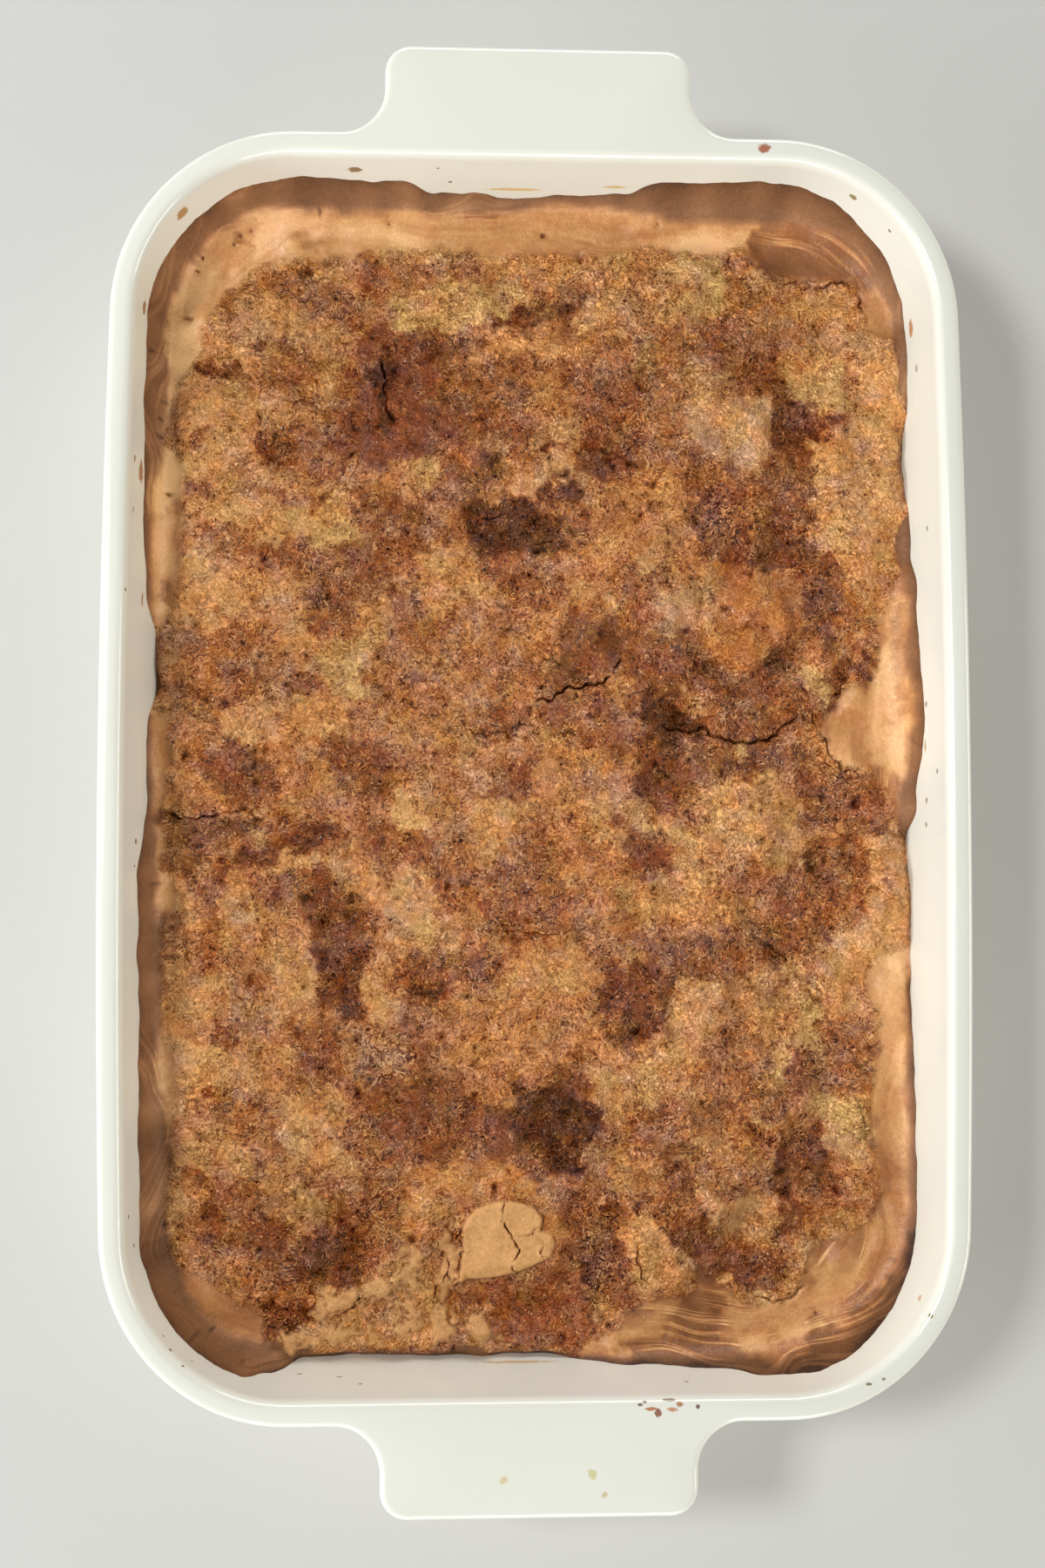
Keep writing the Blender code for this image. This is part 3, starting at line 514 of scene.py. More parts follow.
def path_gap(x, y, path, margin=3.0):
    """Shortest distance from each point to a run of straight pieces, worked out near it only."""
    path = np.asarray(path, float)
    gap = np.full(len(x), 99.0)
    low = path.min(0) - margin
    high = path.max(0) + margin
    near = np.flatnonzero((x > low[0]) & (x < high[0]) & (y > low[1]) & (y < high[1]))
    best = gap[near]
    for (ax, ay), (bx, by) in zip(path, path[1:]):
        length = max((bx - ax) ** 2 + (by - ay) ** 2, 1e-9)
        share = np.clip(((x[near] - ax) * (bx - ax) + (y[near] - ay) * (by - ay)) / length, 0.0, 1.0)
        best = np.minimum(best, np.hypot(x[near] - ax - share * (bx - ax), y[near] - ay - share * (by - ay)))
    gap[near] = best
    return gap


def inside(x, y, outline):
    """Whether each point lies inside a closed outline."""
    outline = np.asarray(outline, float)
    crossings = np.zeros(len(x), int)
    for (ax, ay), (bx, by) in zip(outline, np.roll(outline, -1, axis=0)):
        if ay == by:
            continue
        crossings += ((ay > y) != (by > y)) & (x < ax + (y - ay) * (bx - ax) / (by - ay))
    return crossings % 2 == 1


def depth_inside(x, y, outline):
    """Distance from an outline's edge, positive inside it and negative outside."""
    gap = path_gap(x, y, tuple(outline) + (outline[0],))
    return np.where(inside(x, y, outline), gap, -gap)


def sideways(path):
    """Unit steps to the left of a path, one for each of its points."""
    slope = np.gradient(path, axis=0)
    return np.column_stack((-slope[:, 1], slope[:, 0])) / np.hypot(*slope.T)[:, None]


def ragged(path, pitch=0.7, sway=0.55, seed=0.0):
    """A crack's path with points at a pitch, swayed from side to side like torn crust."""
    path = np.asarray(path, float)
    runs = np.hypot(*np.diff(path, axis=0).T)
    way = np.concatenate(([0.0], np.cumsum(runs)))
    steps = max(2, round(way[-1] / pitch))
    at = np.linspace(0.0, way[-1], steps + 1)
    points = np.column_stack((np.interp(at, way, path[:, 0]), np.interp(at, way, path[:, 1])))
    swing = relief(at, at * 0, 2.2 * sway, 3.1, seed) + relief(at, at * 0, sway, 1.2, seed + 7)
    fade = np.sin(np.pi * np.clip(at / way[-1] * 4, 0, 0.5))
    return points + sideways(points) * (swing * fade)[:, None]


def wall_turn(x, y):
    """Place round the wall as an angle, with the dish drawn up into a square."""
    return np.arctan2(y / HALF_LENGTH, x / HALF_WIDTH)


def wall_stations(walls):
    """The values along the walls as angle and value, in order, with the round closed at both ends."""
    spots = {
        "right": lambda spot: (HALF_WIDTH, spot), "far": lambda spot: (spot, HALF_LENGTH),
        "left": lambda spot: (-HALF_WIDTH, spot), "near": lambda spot: (spot, -HALF_LENGTH),
    }
    stations = sorted((float(wall_turn(*spots[wall](spot))), value)
                      for wall, rows in walls.items() for spot, value in rows)
    whole = 2 * math.pi
    return np.array([(stations[-1][0] - whole, stations[-1][1])] + stations
                    + [(stations[0][0] + whole, stations[0][1])])


CLIMB_STATIONS = wall_stations(CLIMB)
REACH_STATIONS = wall_stations(FILM_REACH)


def by_wall(x, y, stations):
    """The stations' value at the place on the wall nearest a point."""
    turn = wall_turn(x, y)
    k = np.searchsorted(stations[:, 0], turn, side="right") - 1
    start = stations[k]
    end = stations[k + 1]
    return start[:, 1] + (end[:, 1] - start[:, 1]) * smooth((turn - start[:, 0]) / (end[:, 0] - start[:, 0]))


def skin_share(x, y):
    """1 on smooth skin and 0 on crumbly crust."""
    return np.max([smooth((1.15 - oval_reach(x, y, shape)) / 0.3) for shape in SKINS], axis=0)


def skin_cover(x, y):
    """1 on the skins' full areas and 0 on crust."""
    return np.max([smooth(0.5 + depth_inside(x, y, area) / 1.6) for area in SKIN_AREAS], axis=0)


def crust_height(x, y, gap):
    """Height of the cake's top over the dish's foot: the solid's form."""
    skin = skin_share(x, y)
    rough = relief(x, y, *CRUST_LUMPS) + relief(x, y, *CRUST_CRUMBS)
    level = CRUST_LEVEL + relief(x, y, *CRUST_SWELL) + rough * (1 - SKIN_CALM * skin) - SKIN_DROP * skin
    for shape in MOUNDS + HOLLOWS:
        level += shape[5] * smooth((1.25 - oval_reach(x, y, shape)) / 0.6)
    away = np.hypot(x - MOAT_CENTRE[0], y - MOAT_CENTRE[1])
    level += MOAT_DEPTH * smooth((away - MOAT_IN + 4) / 4) * smooth((MOAT_OUT - away) / 5)
    on_plate = inside(x, y, PLATE)
    lift = PLATE_RISE * smooth(path_gap(x, y, PLATE + PLATE[:1]) / PLATE_EDGE)
    level = np.where(on_plate, np.maximum(level, CRUST_LEVEL) + lift, level)
    rise = by_wall(x, y, CLIMB_STATIONS)
    steep = FILM_STEEP[0] * np.exp(-gap / FILM_STEEP[1])
    gentle = FILM_GENTLE[0] * np.exp(-gap / FILM_GENTLE[1])
    edge = uneven(0.0, x, y, FILM_UNEVEN, 21.0) * smooth(rise / 5)
    shoulder = SHOULDER_DROP * smooth(1 - rise / 3) * np.exp(-(gap / SHOULDER_WIDTH) ** 2)
    return level + rise * (steep + gentle) + edge * steep - shoulder


edge_inner = ring(wall_inset(CRUST_LEVEL) + GAP, fine=6)
edge_runs = np.hypot(*np.diff(edge_inner, axis=0, append=edge_inner[:1]).T)
edge_way = np.concatenate(([0.0], np.cumsum(edge_runs)))
EDGE_COUNT = round(edge_way[-1] / EDGE_PITCH)
edge_stops = np.linspace(0.0, edge_way[-1], EDGE_COUNT + 1)[:-1]


def even_ring(inset):
    """The wall's outline at an inset, with points an even millimetre apart."""
    outline = ring(inset, fine=6)
    outline = np.concatenate((outline, outline[:1]))
    return np.column_stack([np.interp(edge_stops, edge_way, outline[:, axis]) for axis in (0, 1)])


inset_zero = even_ring(0.0)
inset_step = (even_ring(20.0) - inset_zero) / 20.0


def film_ring(gap):
    """A ring of points on the cake's top at a distance from the wall, whatever its height there."""
    height = np.full(EDGE_COUNT, CRUST_LEVEL)
    for _ in range(4):
        inset = wall_inset(height) + GAP + gap
        spots = inset_zero + inset_step * inset[:, None]
        height = crust_height(spots[:, 0], spots[:, 1], np.full(EDGE_COUNT, max(gap, 0.0)))
    return spots, height


def hex_grid(pitch):
    """A triangular grid of points over the whole dish."""
    row_pitch = pitch * math.sqrt(3) / 2
    rows = int(HALF_LENGTH / row_pitch)
    columns = int(HALF_WIDTH / pitch)
    row, column = np.mgrid[-rows:rows + 1, -columns:columns + 1]
    return np.column_stack((((column + 0.5 * (row % 2)) * pitch).ravel(), (row * row_pitch).ravel()))


def nearest(spots, taken):
    """For each spot, which of the points taken is nearest, and how far away it is."""
    tree = KDTree(len(taken))
    for k, (x, y) in enumerate(taken):
        tree.insert((x, y, 0.0), k)
    tree.balance()
    found = [tree.find((x, y, 0.0)) for x, y in spots]
    return np.array([k for _, k, _ in found]), np.array([distance for _, _, distance in found])


def make_pits(draw):
    """Random small pores in the crust, few on the skins: place, radius, depth, stretch and turn."""
    tries = 3 * PIT_COUNT
    x = draw.uniform(-HALF_WIDTH + 12, HALF_WIDTH - 12, tries)
    y = draw.uniform(-HALF_LENGTH + 12, HALF_LENGTH - 12, tries)
    radius = draw.uniform(0.4, 0.65, tries) + 0.7 * draw.random(tries) ** 5
    clustered = relief(x, y, 2.0, 12.0, 77.0) + 0.5
    keep = draw.random(tries) < np.clip(clustered, 0.1, 1.0) * (1 - 0.95 * skin_cover(x, y))
    for _, outline in ((PLATE_RISE, PLATE),) + LUMPS:
        keep &= depth_inside(x, y, outline) < -1.5
    deep = draw.uniform(1.0, 1.9, tries)
    stretch = draw.uniform(1.0, 2.2, tries)
    turn = draw.uniform(0, 180, tries)
    spots = zip(x[keep], y[keep], radius[keep], deep, stretch, turn)
    return [(px, py, size, size * share, *shape) for px, py, size, share, *shape in spots][:PIT_COUNT]


TORN = [(TEAR_WIDTH * half, TEAR_DEPTH * depth, ragged(path, sway=TEAR_SWAY, seed=3.3 * k))
        for k, (half, depth, path) in enumerate(CRACKS)]
PITS = [hole + (1.0, 0.0) for hole in HOLES] + make_pits(np.random.default_rng(7))


def feature_spots():
    """Points that give cracks, pits and the plate's edge a crisp form."""
    spots = []
    for half, _, path in TORN:
        spots += [path, path + sideways(path) * half, path - sideways(path) * half]
    for x, y, radius, *_ in PITS:
        turns = np.radians(np.arange(0, 360, 60))
        spots.append(np.array([(x, y)]))
        spots.append(np.column_stack((x + radius * np.cos(turns), y + radius * np.sin(turns))))
    rim = ragged(PLATE + PLATE[:1], pitch=0.6, sway=0.0)
    spots += [rim, rim + 0.5 * sideways(rim), rim - 0.5 * sideways(rim)]
    return np.concatenate(spots)


def thin_out(spots, distance):
    """Keep one point in each cell of a square grid."""
    cells = {}
    for x, y in spots:
        cells.setdefault((round(x / distance), round(y / distance)), (x, y))
    return np.array(list(cells.values()))


def crust_spots(limit):
    """All points of the cake's top inside the film: close, crust and skin pitches by place."""
    features = thin_out(feature_spots(), FEATURE_PITCH)
    taken = features[inside(*features.T, limit)]
    for pitch, kind in ((CLOSE_PITCH, "close"), (CRUST_PITCH, "crust"), (SKIN_PITCH, "skin")):
        spots = hex_grid(pitch)
        close = oval_reach(*spots.T, CLOSE_AREA) < 1
        skin = skin_cover(*spots.T) > 0.6
        spots = spots[{"close": close, "crust": ~close & ~skin, "skin": ~close & skin}[kind]]
        spots = spots[inside(*spots.T, limit)]
        taken = np.concatenate((taken, spots[nearest(spots, taken)[1] > 0.5 * pitch]))
    return taken


def carve(x, y, height):
    """Cracks, pores and lumps of dry mix: the new height, the painted shade in cracks, pores and round the
    lumps' feet, and how dry.
    """
    hollow_shade = np.zeros(len(x))
    for half, depth, path in TORN:
        away = path_gap(x, y, path)
        ends = np.min([np.hypot(x - end[0], y - end[1]) for end in (path[0], path[-1])], axis=0)
        deep = depth * smooth(ends / 4 + 0.2) * np.maximum(0.0, 1 - away / half)
        near = np.flatnonzero(deep > 0)
        deep[near] *= smooth(0.8 + relief(x[near], y[near], 1.5, 3.5, 91.0))
        height -= deep - LIP_RISE * np.exp(-((away - 1.6 * half) / 0.8) ** 2)
        # painted shade: the deeper the crack, the darker its colour
        hollow_shade = np.maximum(hollow_shade, deep / 2.0)
    for px, py, radius, depth, stretch, turn in PITS:
        near = np.flatnonzero((np.abs(x - px) < 4 * radius) & (np.abs(y - py) < 4 * radius))
        away = oval_reach(x[near], y[near], (px, py, radius * stretch, radius, turn))
        height[near] -= depth * smooth(1.15 - away) - PORE_LIP * np.exp(-((away - 1.5) / 0.4) ** 2)
        # painted shade in each pore
        hollow_shade[near] = np.maximum(hollow_shade[near], 0.8 * smooth(1.2 - away))
    dry = smooth(depth_inside(x, y, PLATE) / 0.6 + 0.3)
    east = uneven(x, x, y, LUMP_SWAY, 81.0)
    north = uneven(y, x, y, LUMP_SWAY, 85.0)
    for lift, outline in LUMPS:
        deep = depth_inside(east, north, outline)
        height += lift * (smooth(deep / 1.2 + 0.4) + 0.3 * smooth(deep / 3.0))
        # painted shade in a ring round the lump's foot
        hollow_shade = np.maximum(hollow_shade, 0.3 * np.exp(-((deep + 0.6) / 0.5) ** 2) * (1 - dry))
        dry = np.maximum(dry, 0.85 * smooth(deep / 1.4 + 0.5))
    return height, hollow_shade, dry


def make_cake():
    """Crust with its fine relief on top, sides that follow the dish's wall, and a flat bottom."""
    films = [film_ring(gap) for gap in (EDGE_GAP,) + FILM_GAPS]
    limit = even_ring(wall_inset(CRUST_LEVEL) + GAP + FILM_GAPS[-1] + 0.6)
    flat = np.concatenate([spots for spots, _ in films] + [crust_spots(limit)])
    rim = [(k, (k + 1) % EDGE_COUNT) for k in range(EDGE_COUNT)]
    triangles, sources = delaunay_2d_cdt([Vector(spot) for spot in flat], rim, [], 1, 1e-6)[2:4]
    order = np.array([source[0] for source in sources])
    x, y = flat[order].T
    place, gap = nearest(flat[order], even_ring(wall_inset(CRUST_LEVEL) + GAP))
    ring_number = order // EDGE_COUNT
    on_film = ring_number < len(films)
    gap[on_film] = np.array((0.0,) + FILM_GAPS)[ring_number[on_film]]
    height = crust_height(x, y, gap)
    height[on_film] = np.concatenate([heights for _, heights in films])[order[on_film]]
    height, hollow_shade, dry = carve(x, y, height)
    fields = cake_fields(x, y, gap, place, hollow_shade, dry)
    height -= SOAK_DROP * fields["crumbly"] * (smooth((fields["browning"] - 0.4) / 0.25) - 0.5)

    count = len(x)
    foot_height = CRUST_LEVEL - SIDE_DEPTH
    rows = [(wall_inset(foot_height) + GAP, foot_height)] + inner_fillet(GAP, 5)
    points = [np.column_stack((x, y, height))]
    points += [np.column_stack((even_ring(inset), np.full(EDGE_COUNT, level))) for inset, level in rows]
    points.append(np.array([(0.0, 0.0, FLOOR + GAP)]))
    edge_number = {source: k for k, source in enumerate(order) if source < EDGE_COUNT}
    faces = [tuple(triangle) for triangle in triangles]
    faces += join_rings(len(rows), count, EDGE_COUNT)
    last = count + (len(rows) - 1) * EDGE_COUNT
    bottom_middle = count + len(rows) * EDGE_COUNT
    for k in range(EDGE_COUNT):
        after = (k + 1) % EDGE_COUNT
        faces += [(edge_number[k], count + k, count + after, edge_number[after]),
                  (last + k, bottom_middle, last + after)]
    cake = add_mesh("cake_crust", np.concatenate(points), faces)
    hidden = len(rows) * EDGE_COUNT + 1
    for name, values in fields.items():
        values = np.concatenate((values, np.zeros((hidden,) + values.shape[1:])))
        kind, key = ("FLOAT_VECTOR", "vector") if values.ndim == 2 else ("FLOAT", "value")
        attribute = cake.data.attributes.new(name, kind, "POINT")
        attribute.data.foreach_set(key, values.astype(np.float32).ravel())
    return cake


# Hues of the top: how far each leans to orange (below 0 to grey-brown) and to olive (below 0 to
# red-brown), and how smooth and sticky it is
HUES = {
    "brown": (0.0, 0.0, 0.0), "gold": (0.2, 0.2, 0.0), "orange": (0.6, 0.0, 0.1),
    "plum": (-0.25, 0.05, 0.1), "umber": (-0.45, 0.35, 0.1), "olive": (-0.2, 0.7, 0.1),
    "cream": (-0.2, 0.15, 0.0), "syrup": (0.0, -0.1, 0.4), "jam": (-0.3, -0.15, 0.4),
    "toffee": (0.4, 0.0, 0.7), "bare": (-0.45, 0.3, 0.6),
}
# The top as seen from above, laid on patch over patch: hue, browning from 0 for pale gold to 1 for
# the darkest syrup, and an outline as x and y in turn, or an oval's place, half sizes and turn
PATCHES = (
    # far left
    ("gold", 0.33, (-98, 60, -80, 60, -62, 66, -58, 80, -78, 88, -80, 100, -60, 112, -52, 112, -50, 128,
                    -62, 138, -80, 146, -92, 136, -98, 115, -104, 95, -100, 75)),
    ("gold", 0.4, (-93, 125, -80, 124, -79, 140, -90, 138)),
    ("orange", 0.45, (-82, 137, -68, 137, -62, 146, -80, 147)),
    ("brown", 0.5, (-78, 137, -66, 136, -60, 140, -62, 147, -74, 146)),
    ("gold", 0.24, (-77, 124, -66, 124, -60, 128, -62, 134, -74, 135, -77, 130)),
    ("plum", 0.55, (-64, 130, -56, 129, -49, 132, -52, 141, -60, 143, -66, 138)),
    ("brown", 0.6, (-50, 139, -42, 139, -41, 147, -48, 147)),
    ("brown", 0.52, (-45, 137, -30, 140, -26, 150, -40, 149)),
    ("olive", 0.3, (-42, 127, -30, 128, -30, 137, -40, 137)), ("brown", 0.72, (-92, 117, 5.5, 3.5, -10)),
    ("brown", 0.95, (-95.5, 115.5, 2, 1.3, 0)), ("umber", 0.8, (-78, 122, 3, 1.5, 15)),
    ("umber", 0.68, (-69, 121, 5, 4.5, 0)), ("brown", 0.9, (-65.5, 144.5, 1.5, 1.5, 0)),
    ("brown", 0.55, (-76, 110, -64, 110, -60, 117, -70, 119, -76, 117)),
    ("gold", 0.38, (-60, 112, -50, 113, -49, 127, -58, 128)),
    ("gold", 0.27, (-98, 97, -82, 98, -80, 112, -95, 113)), ("brown", 0.75, (-96, 95.5, 3, 1.8, 0)),
    ("brown", 0.9, (-103, 96, 1, 1.2, 0)), ("plum", 0.74, (-80, 98, -72, 99, -71, 92, -73, 87, -78, 90)),
    ("brown", 0.58, (-72, 99, -60, 100, -56, 92, -60, 86, -72, 85)),
    ("brown", 0.6, (-60, 110, -50, 112, -50, 98, -58, 92, -62, 100)),
    ("jam", 0.72, (-52, 126, -44, 129, -36, 126, -28, 128, -22, 124, -22, 112, -28, 96, -28, 92, -40, 90,
                   -52, 90, -57, 84, -58, 98, -51, 110)),
    ("umber", 0.95, (-45.5, 122, -42.5, 122, -41.5, 104, -40, 98, -42.5, 99, -46, 110)),
    ("gold", 0.33, (-38, 90, -27, 91, -26, 84, -33, 81, -38, 84)),
    ("umber", 0.68, (-98, 84, -93, 87, -88, 85, -87, 79, -92, 77, -98, 79)),
    ("gold", 0.33, (-90, 90, -80, 91, -79, 80, -86, 78, -90, 82)),
    ("brown", 0.6, (-80, 82, -70, 80, -60, 79, -62, 74, -74, 75, -80, 77)),
    ("gold", 0.22, (-92, 76, -84, 79, -74, 77, -73, 66, -79, 64, -82, 72)),
    ("olive", 0.27, (-72, 73, -60, 74, -50, 71, -50, 66, -60, 65, -70, 67)),
    ("gold", 0.3, (-62, 78, -51, 78, -50, 73, -60, 73)),
    ("brown", 0.52, (-99, 72, -86, 72, -80, 66, -82, 61, -96, 62)),
    ("brown", 0.62, (-51, 80, -40, 82, -28, 78, -22, 70, -26, 62, -40, 60, -50, 63)),
    ("brown", 0.64, (-80, 66, -70, 68, -60, 62, -58, 57, -66, 56, -80, 57)),
    # far middle
    ("gold", 0.4, (-28, 150, -10, 151, 10, 151, 26, 151, 26, 141, 10, 143, -10, 144, -26, 144)),
    ("plum", 0.56, (-22, 149, 5, 4, 0)), ("brown", 0.5, (-31, 145, 4, 3, 0)),
    ("olive", 0.38, (-41, 135, -28, 143, -12, 143, -2, 138, -4, 133, -12, 131, -24, 130, -38, 128)),
    ("olive", 0.2, (-25, 130, -20, 134, -12, 136, -8, 134, -12, 131.5, -18, 129.5)),
    ("umber", 0.64, (0, 131, 0, 141, 8, 143, 14, 141, 16, 136, 14, 131)),
    ("umber", 0.8, (11, 137, 2.5, 2.5, 0)),
    ("plum", 0.85, (-18, 129, -12, 131, -6, 132.5, 0, 134, 0, 131.5, -8, 130, -14, 128)),
    ("gold", 0.28, (15, 129, 14, 136, 18, 140, 26, 140, 27, 131, 22, 128)),
    ("gold", 0.38, (27, 152, 40, 151, 52, 150, 60, 150, 62, 140, 52, 130, 40, 130, 30, 128, 27, 140)),
    ("olive", 0.22, (44, 146, 4, 4, 0)), ("olive", 0.25, (53, 146, 4, 6, 0)),
    ("olive", 0.3, (45, 136, 4, 4, 0)),
    ("umber", 0.56, (28, 128, 40, 127, 40, 112, 36, 106, 30, 100, 30, 112, 28, 118)),
    ("plum", 0.7, (-40, 128, -30, 129, -22, 128, -18, 122, -22, 119, -30, 119, -40, 118)),
    ("orange", 0.28, (-20, 124, -12, 127, -2, 128, 5, 130, 12, 128, 15, 124, 12, 121.5, 0, 122, -10, 120,
                      -20, 119.5)),
    ("brown", 0.58, (-28, 118, -18, 119, 0, 121, 12, 121, 14, 108, 14, 94, 4, 90, -10, 94, -28, 92,
                     -26, 106)),
    ("plum", 0.7, (-31, 113, -22, 112, -22, 98, -30, 96)),
    ("orange", 0.46, (-2, 118, 8, 118, 11, 104, 8, 100, -2, 102)),
    ("gold", 0.36, (2, 102, 8, 101, 13, 98, 12, 92, 4, 92, 1, 96)),
    ("brown", 0.62, (10, 120, 30, 118, 32, 100, 28, 96, 14, 96, 10, 106)),
    ("plum", 0.72, (14, 97, 26, 99, 31, 94, 31, 86, 22, 85, 14, 88)),
    ("umber", 0.95, (25.5, 92, 2.4, 1, 25)), ("umber", 0.85, (28, 96.5, 1.5, 1, 0)),
    ("plum", 0.55, (34, 110, 41, 110, 42, 98, 42, 84, 38, 84, 37, 98)),
    ("brown", 0.6, (-30, 93, -15, 93, -10, 86, -14, 80, -28, 82)),
    ("umber", 0.8, (-15, 92, -10, 93, -8, 87, -12, 84, -15, 87)),
    ("cream", 0.08, (-5, 79, -3, 83, 0, 87, 3, 87, 3, 84, -1, 80, -3, 78)),
    ("gold", 0.3, (3, 87, 3, 90, 12, 91, 13, 88)),
    ("umber", 0.8, (2, 85, 8, 88, 12, 87, 13, 82, 9, 76, 4, 75, 1, 79)),
    ("umber", 0.9, (-23, 78, -16, 79, -8, 79, -3, 77, 0, 74, 8, 73, 8, 66, -2, 62, -14, 63, -22, 66)),
    ("orange", 0.4, (14, 86, 30, 84, 32, 90, 40, 90, 48, 86, 50, 76, 48, 62, 34, 60, 20, 62, 12, 66,
                     14, 76)),
    ("gold", 0.28, (20, 66, 34, 66, 36, 61, 26, 60, 18, 62)),
    ("brown", 0.58, (9, 76, 17, 76, 16, 66, 10, 64, 7, 70)), ("brown", 0.9, (31.5, 113, 1.4, 1.4, 0)),
    ("brown", 0.85, (6, 91.5, 1.2, 1, 0)), ("brown", 0.8, (2, 141, 1.4, 1, 0)),
    ("brown", 0.85, (-31, 120, 1.4, 1, 0)),
    # far right
    ("gold", 0.28, (70, 143, 96, 142, 97, 130, 104, 126, 108, 118, 108, 60, 90, 58, 84, 64, 80, 76,
                    82, 96, 88, 104, 76, 108, 72, 118)),
    ("umber", 0.55, (61, 147, 66, 149, 72, 146, 70, 137, 62, 136)),
    ("gold", 0.32, (71, 139, 79, 140, 80, 135, 73, 134)),
    ("gold", 0.2, (84, 141, 94, 141, 96, 128, 90, 122, 85, 126)),
    ("brown", 0.6, (47, 131, 60, 132, 72, 130, 74, 122, 70, 114, 62, 114, 50, 118, 46, 124)),
    ("orange", 0.5, (70, 132, 82, 133, 84, 124, 80, 120, 72, 122)),
    ("brown", 0.6, (65, 120, 75, 120, 76, 110, 66, 108)),
    ("olive", 0.26, (75, 118, 90, 119, 90, 106, 82, 106, 75, 110)),
    ("orange", 0.52, (92.5, 115, 2.4, 5, 0)), ("gold", 0.17, (96, 118, 108, 118, 108, 104, 98, 106)),
    ("gold", 0.4, (46, 119, 60, 118, 60, 109, 50, 110, 44, 112)),
    ("cream", 0.13, (44, 99, 46, 106, 51, 110, 60, 110, 68, 108, 71, 99, 67, 92, 57, 90, 48, 93)),
    ("plum", 0.77, (70, 109, 76, 110, 83, 107, 88, 104, 87, 98, 80, 93, 72, 92, 70, 100)),
    ("brown", 0.6, (44, 92, 56, 90, 70, 91, 80, 93, 81, 80, 70, 78, 50, 79, 42, 84)),
    ("brown", 0.66, (74, 94, 82, 94, 81, 80, 75, 79)),
    ("plum", 0.72, (48, 80, 60, 80, 80, 80, 80, 68, 88, 62, 92, 58, 80, 60, 62, 61, 50, 61, 46, 70)),
    ("orange", 0.5, (67, 76, 5, 4, 0)), ("brown", 0.68, (72, 80, 81, 80, 80, 70, 72, 70)),
    ("gold", 0.3, (82, 98, 92, 96, 92, 64, 84, 66, 81, 76)), ("orange", 0.5, (109, 77, 1.5, 4, 0)),
    # middle left
    ("gold", 0.3, (-104, 70, -96, 62, -84, 60, -80, 55, -80, 44, -104, 42)),
    ("gold", 0.22, (-98, 60, -88, 61, -86, 50, -96, 47)),
    ("orange", 0.34, (-80, 57, -68, 57, -64, 46, -68, 40, -80, 40)),
    ("cream", 0.26, (-80, 50, -72, 52, -70, 44, -79, 43)),
    ("gold", 0.22, (-73, 46, -65, 45, -65, 33, -72, 33)),
    ("brown", 0.62, (-68, 54, -61, 56, -60, 40, -65, 40, -66, 46)),
    ("umber", 0.85, (-63, 52, 1.8, 2.4, 0)),
    ("brown", 0.62, (-60, 66, -50, 64, -40, 62, -32, 60, -34, 50, -50, 48, -50, 38, -60, 38)),
    ("gold", 0.34, (-49, 48, -43, 50, -41, 38, -48, 36)),
    ("brown", 0.52, (-42, 60, -32, 62, -30, 40, -34, 20, -48, 20, -50, 34, -42, 38)),
    ("brown", 0.52, (-102, 40, -76, 42, -74, 30, -60, 22, -80, 20, -104, 22)),
    ("brown", 0.64, (-82, 28, 6, 5, 0)), ("brown", 0.62, (-99, 34, 3.5, 4, 0)),
    ("brown", 0.6, (-85, 38, 5, 3, 0)), ("olive", 0.34, (-60, 38, -50, 38, -49, 22, -58, 20, -62, 28)),
    ("olive", 0.24, (-54.5, 30, 2.4, 5, 0)), ("brown", 0.62, (-65, 25, 5, 4.5, 0)),
    ("brown", 0.6, (-100, 22, -91, 22, -90, 8, -100, 6)),
    ("gold", 0.24, (-90, 20, -78, 21, -60, 21, -52, 18, -54, 11, -66, 10, -78, 9, -88, 8, -90, 13)),
    ("orange", 0.38, (-70, 15, 7, 4, -10)), ("umber", 0.97, (-90, 20.5, 1, 1.6, 0)),
    # a tiny pale lump, whitened further as a painted highlight
    ("cream", 0.05, (-88, 14.5, 1, 1, 0)),
    ("plum", 0.68, (-96, 2, -90, 7, -83, 9, -77, 5, -74, -4, -79, -9, -88, -8, -94, -4)),
    ("orange", 0.43, (-76, 10, -60, 11, -57, 4, -58, -12, -74, -12, -74, 0)),
    ("plum", 0.66, (-57, 11, -48, 12, -41, 8, -40, -6, -48, -8, -57, -4)),
    ("orange", 0.46, (-105, 0, -94, -3, -86, -10, -104, -11)),
    ("umber", 0.78, (-106, -13, -98, -12, -86, -11, -78, -13, -77, -18, -86, -19, -95, -21, -97, -29,
                     -104, -29, -106, -20)),
    ("brown", 0.6, (-96, -21, -84, -19, -76, -22, -66, -20, -58, -14, -60, -11, -76, -12, -90, -30)),
    ("olive", 0.36, (-81, -17, -76, -17, -76, -22, -81, -22)),
    ("plum", 0.77, (-93, -28, -84, -26, -76, -22, -67, -18, -57, -14, -57, -20, -62, -24, -68, -24,
                    -76, -27, -84, -31, -91, -32)),
    ("gold", 0.17, (-92, -33, -84, -31, -77, -28, -69, -25, -60, -24, -54, -26, -55, -29, -62, -29,
                    -70, -29, -79, -32, -86, -36, -91, -38)),
    ("orange", 0.32, (-56, -24, -48, -25, -40, -32, -42, -42, -50, -34, -56, -30)),
    ("brown", 0.62, (-81, -30, -68, -28, -58, -30, -60, -40, -70, -42, -80, -38)),
    ("plum", 0.72, (-66, -34, -58, -30, -51, -34, -46, -43, -46, -62, -60, -62, -61, -48, -65, -42)),
    ("gold", 0.36, (-90, -38, -80, -38, -66, -43, -62, -52, -64, -60, -90, -60)),
    ("cream", 0.22, (-82, -43, 3, 4, 0)),
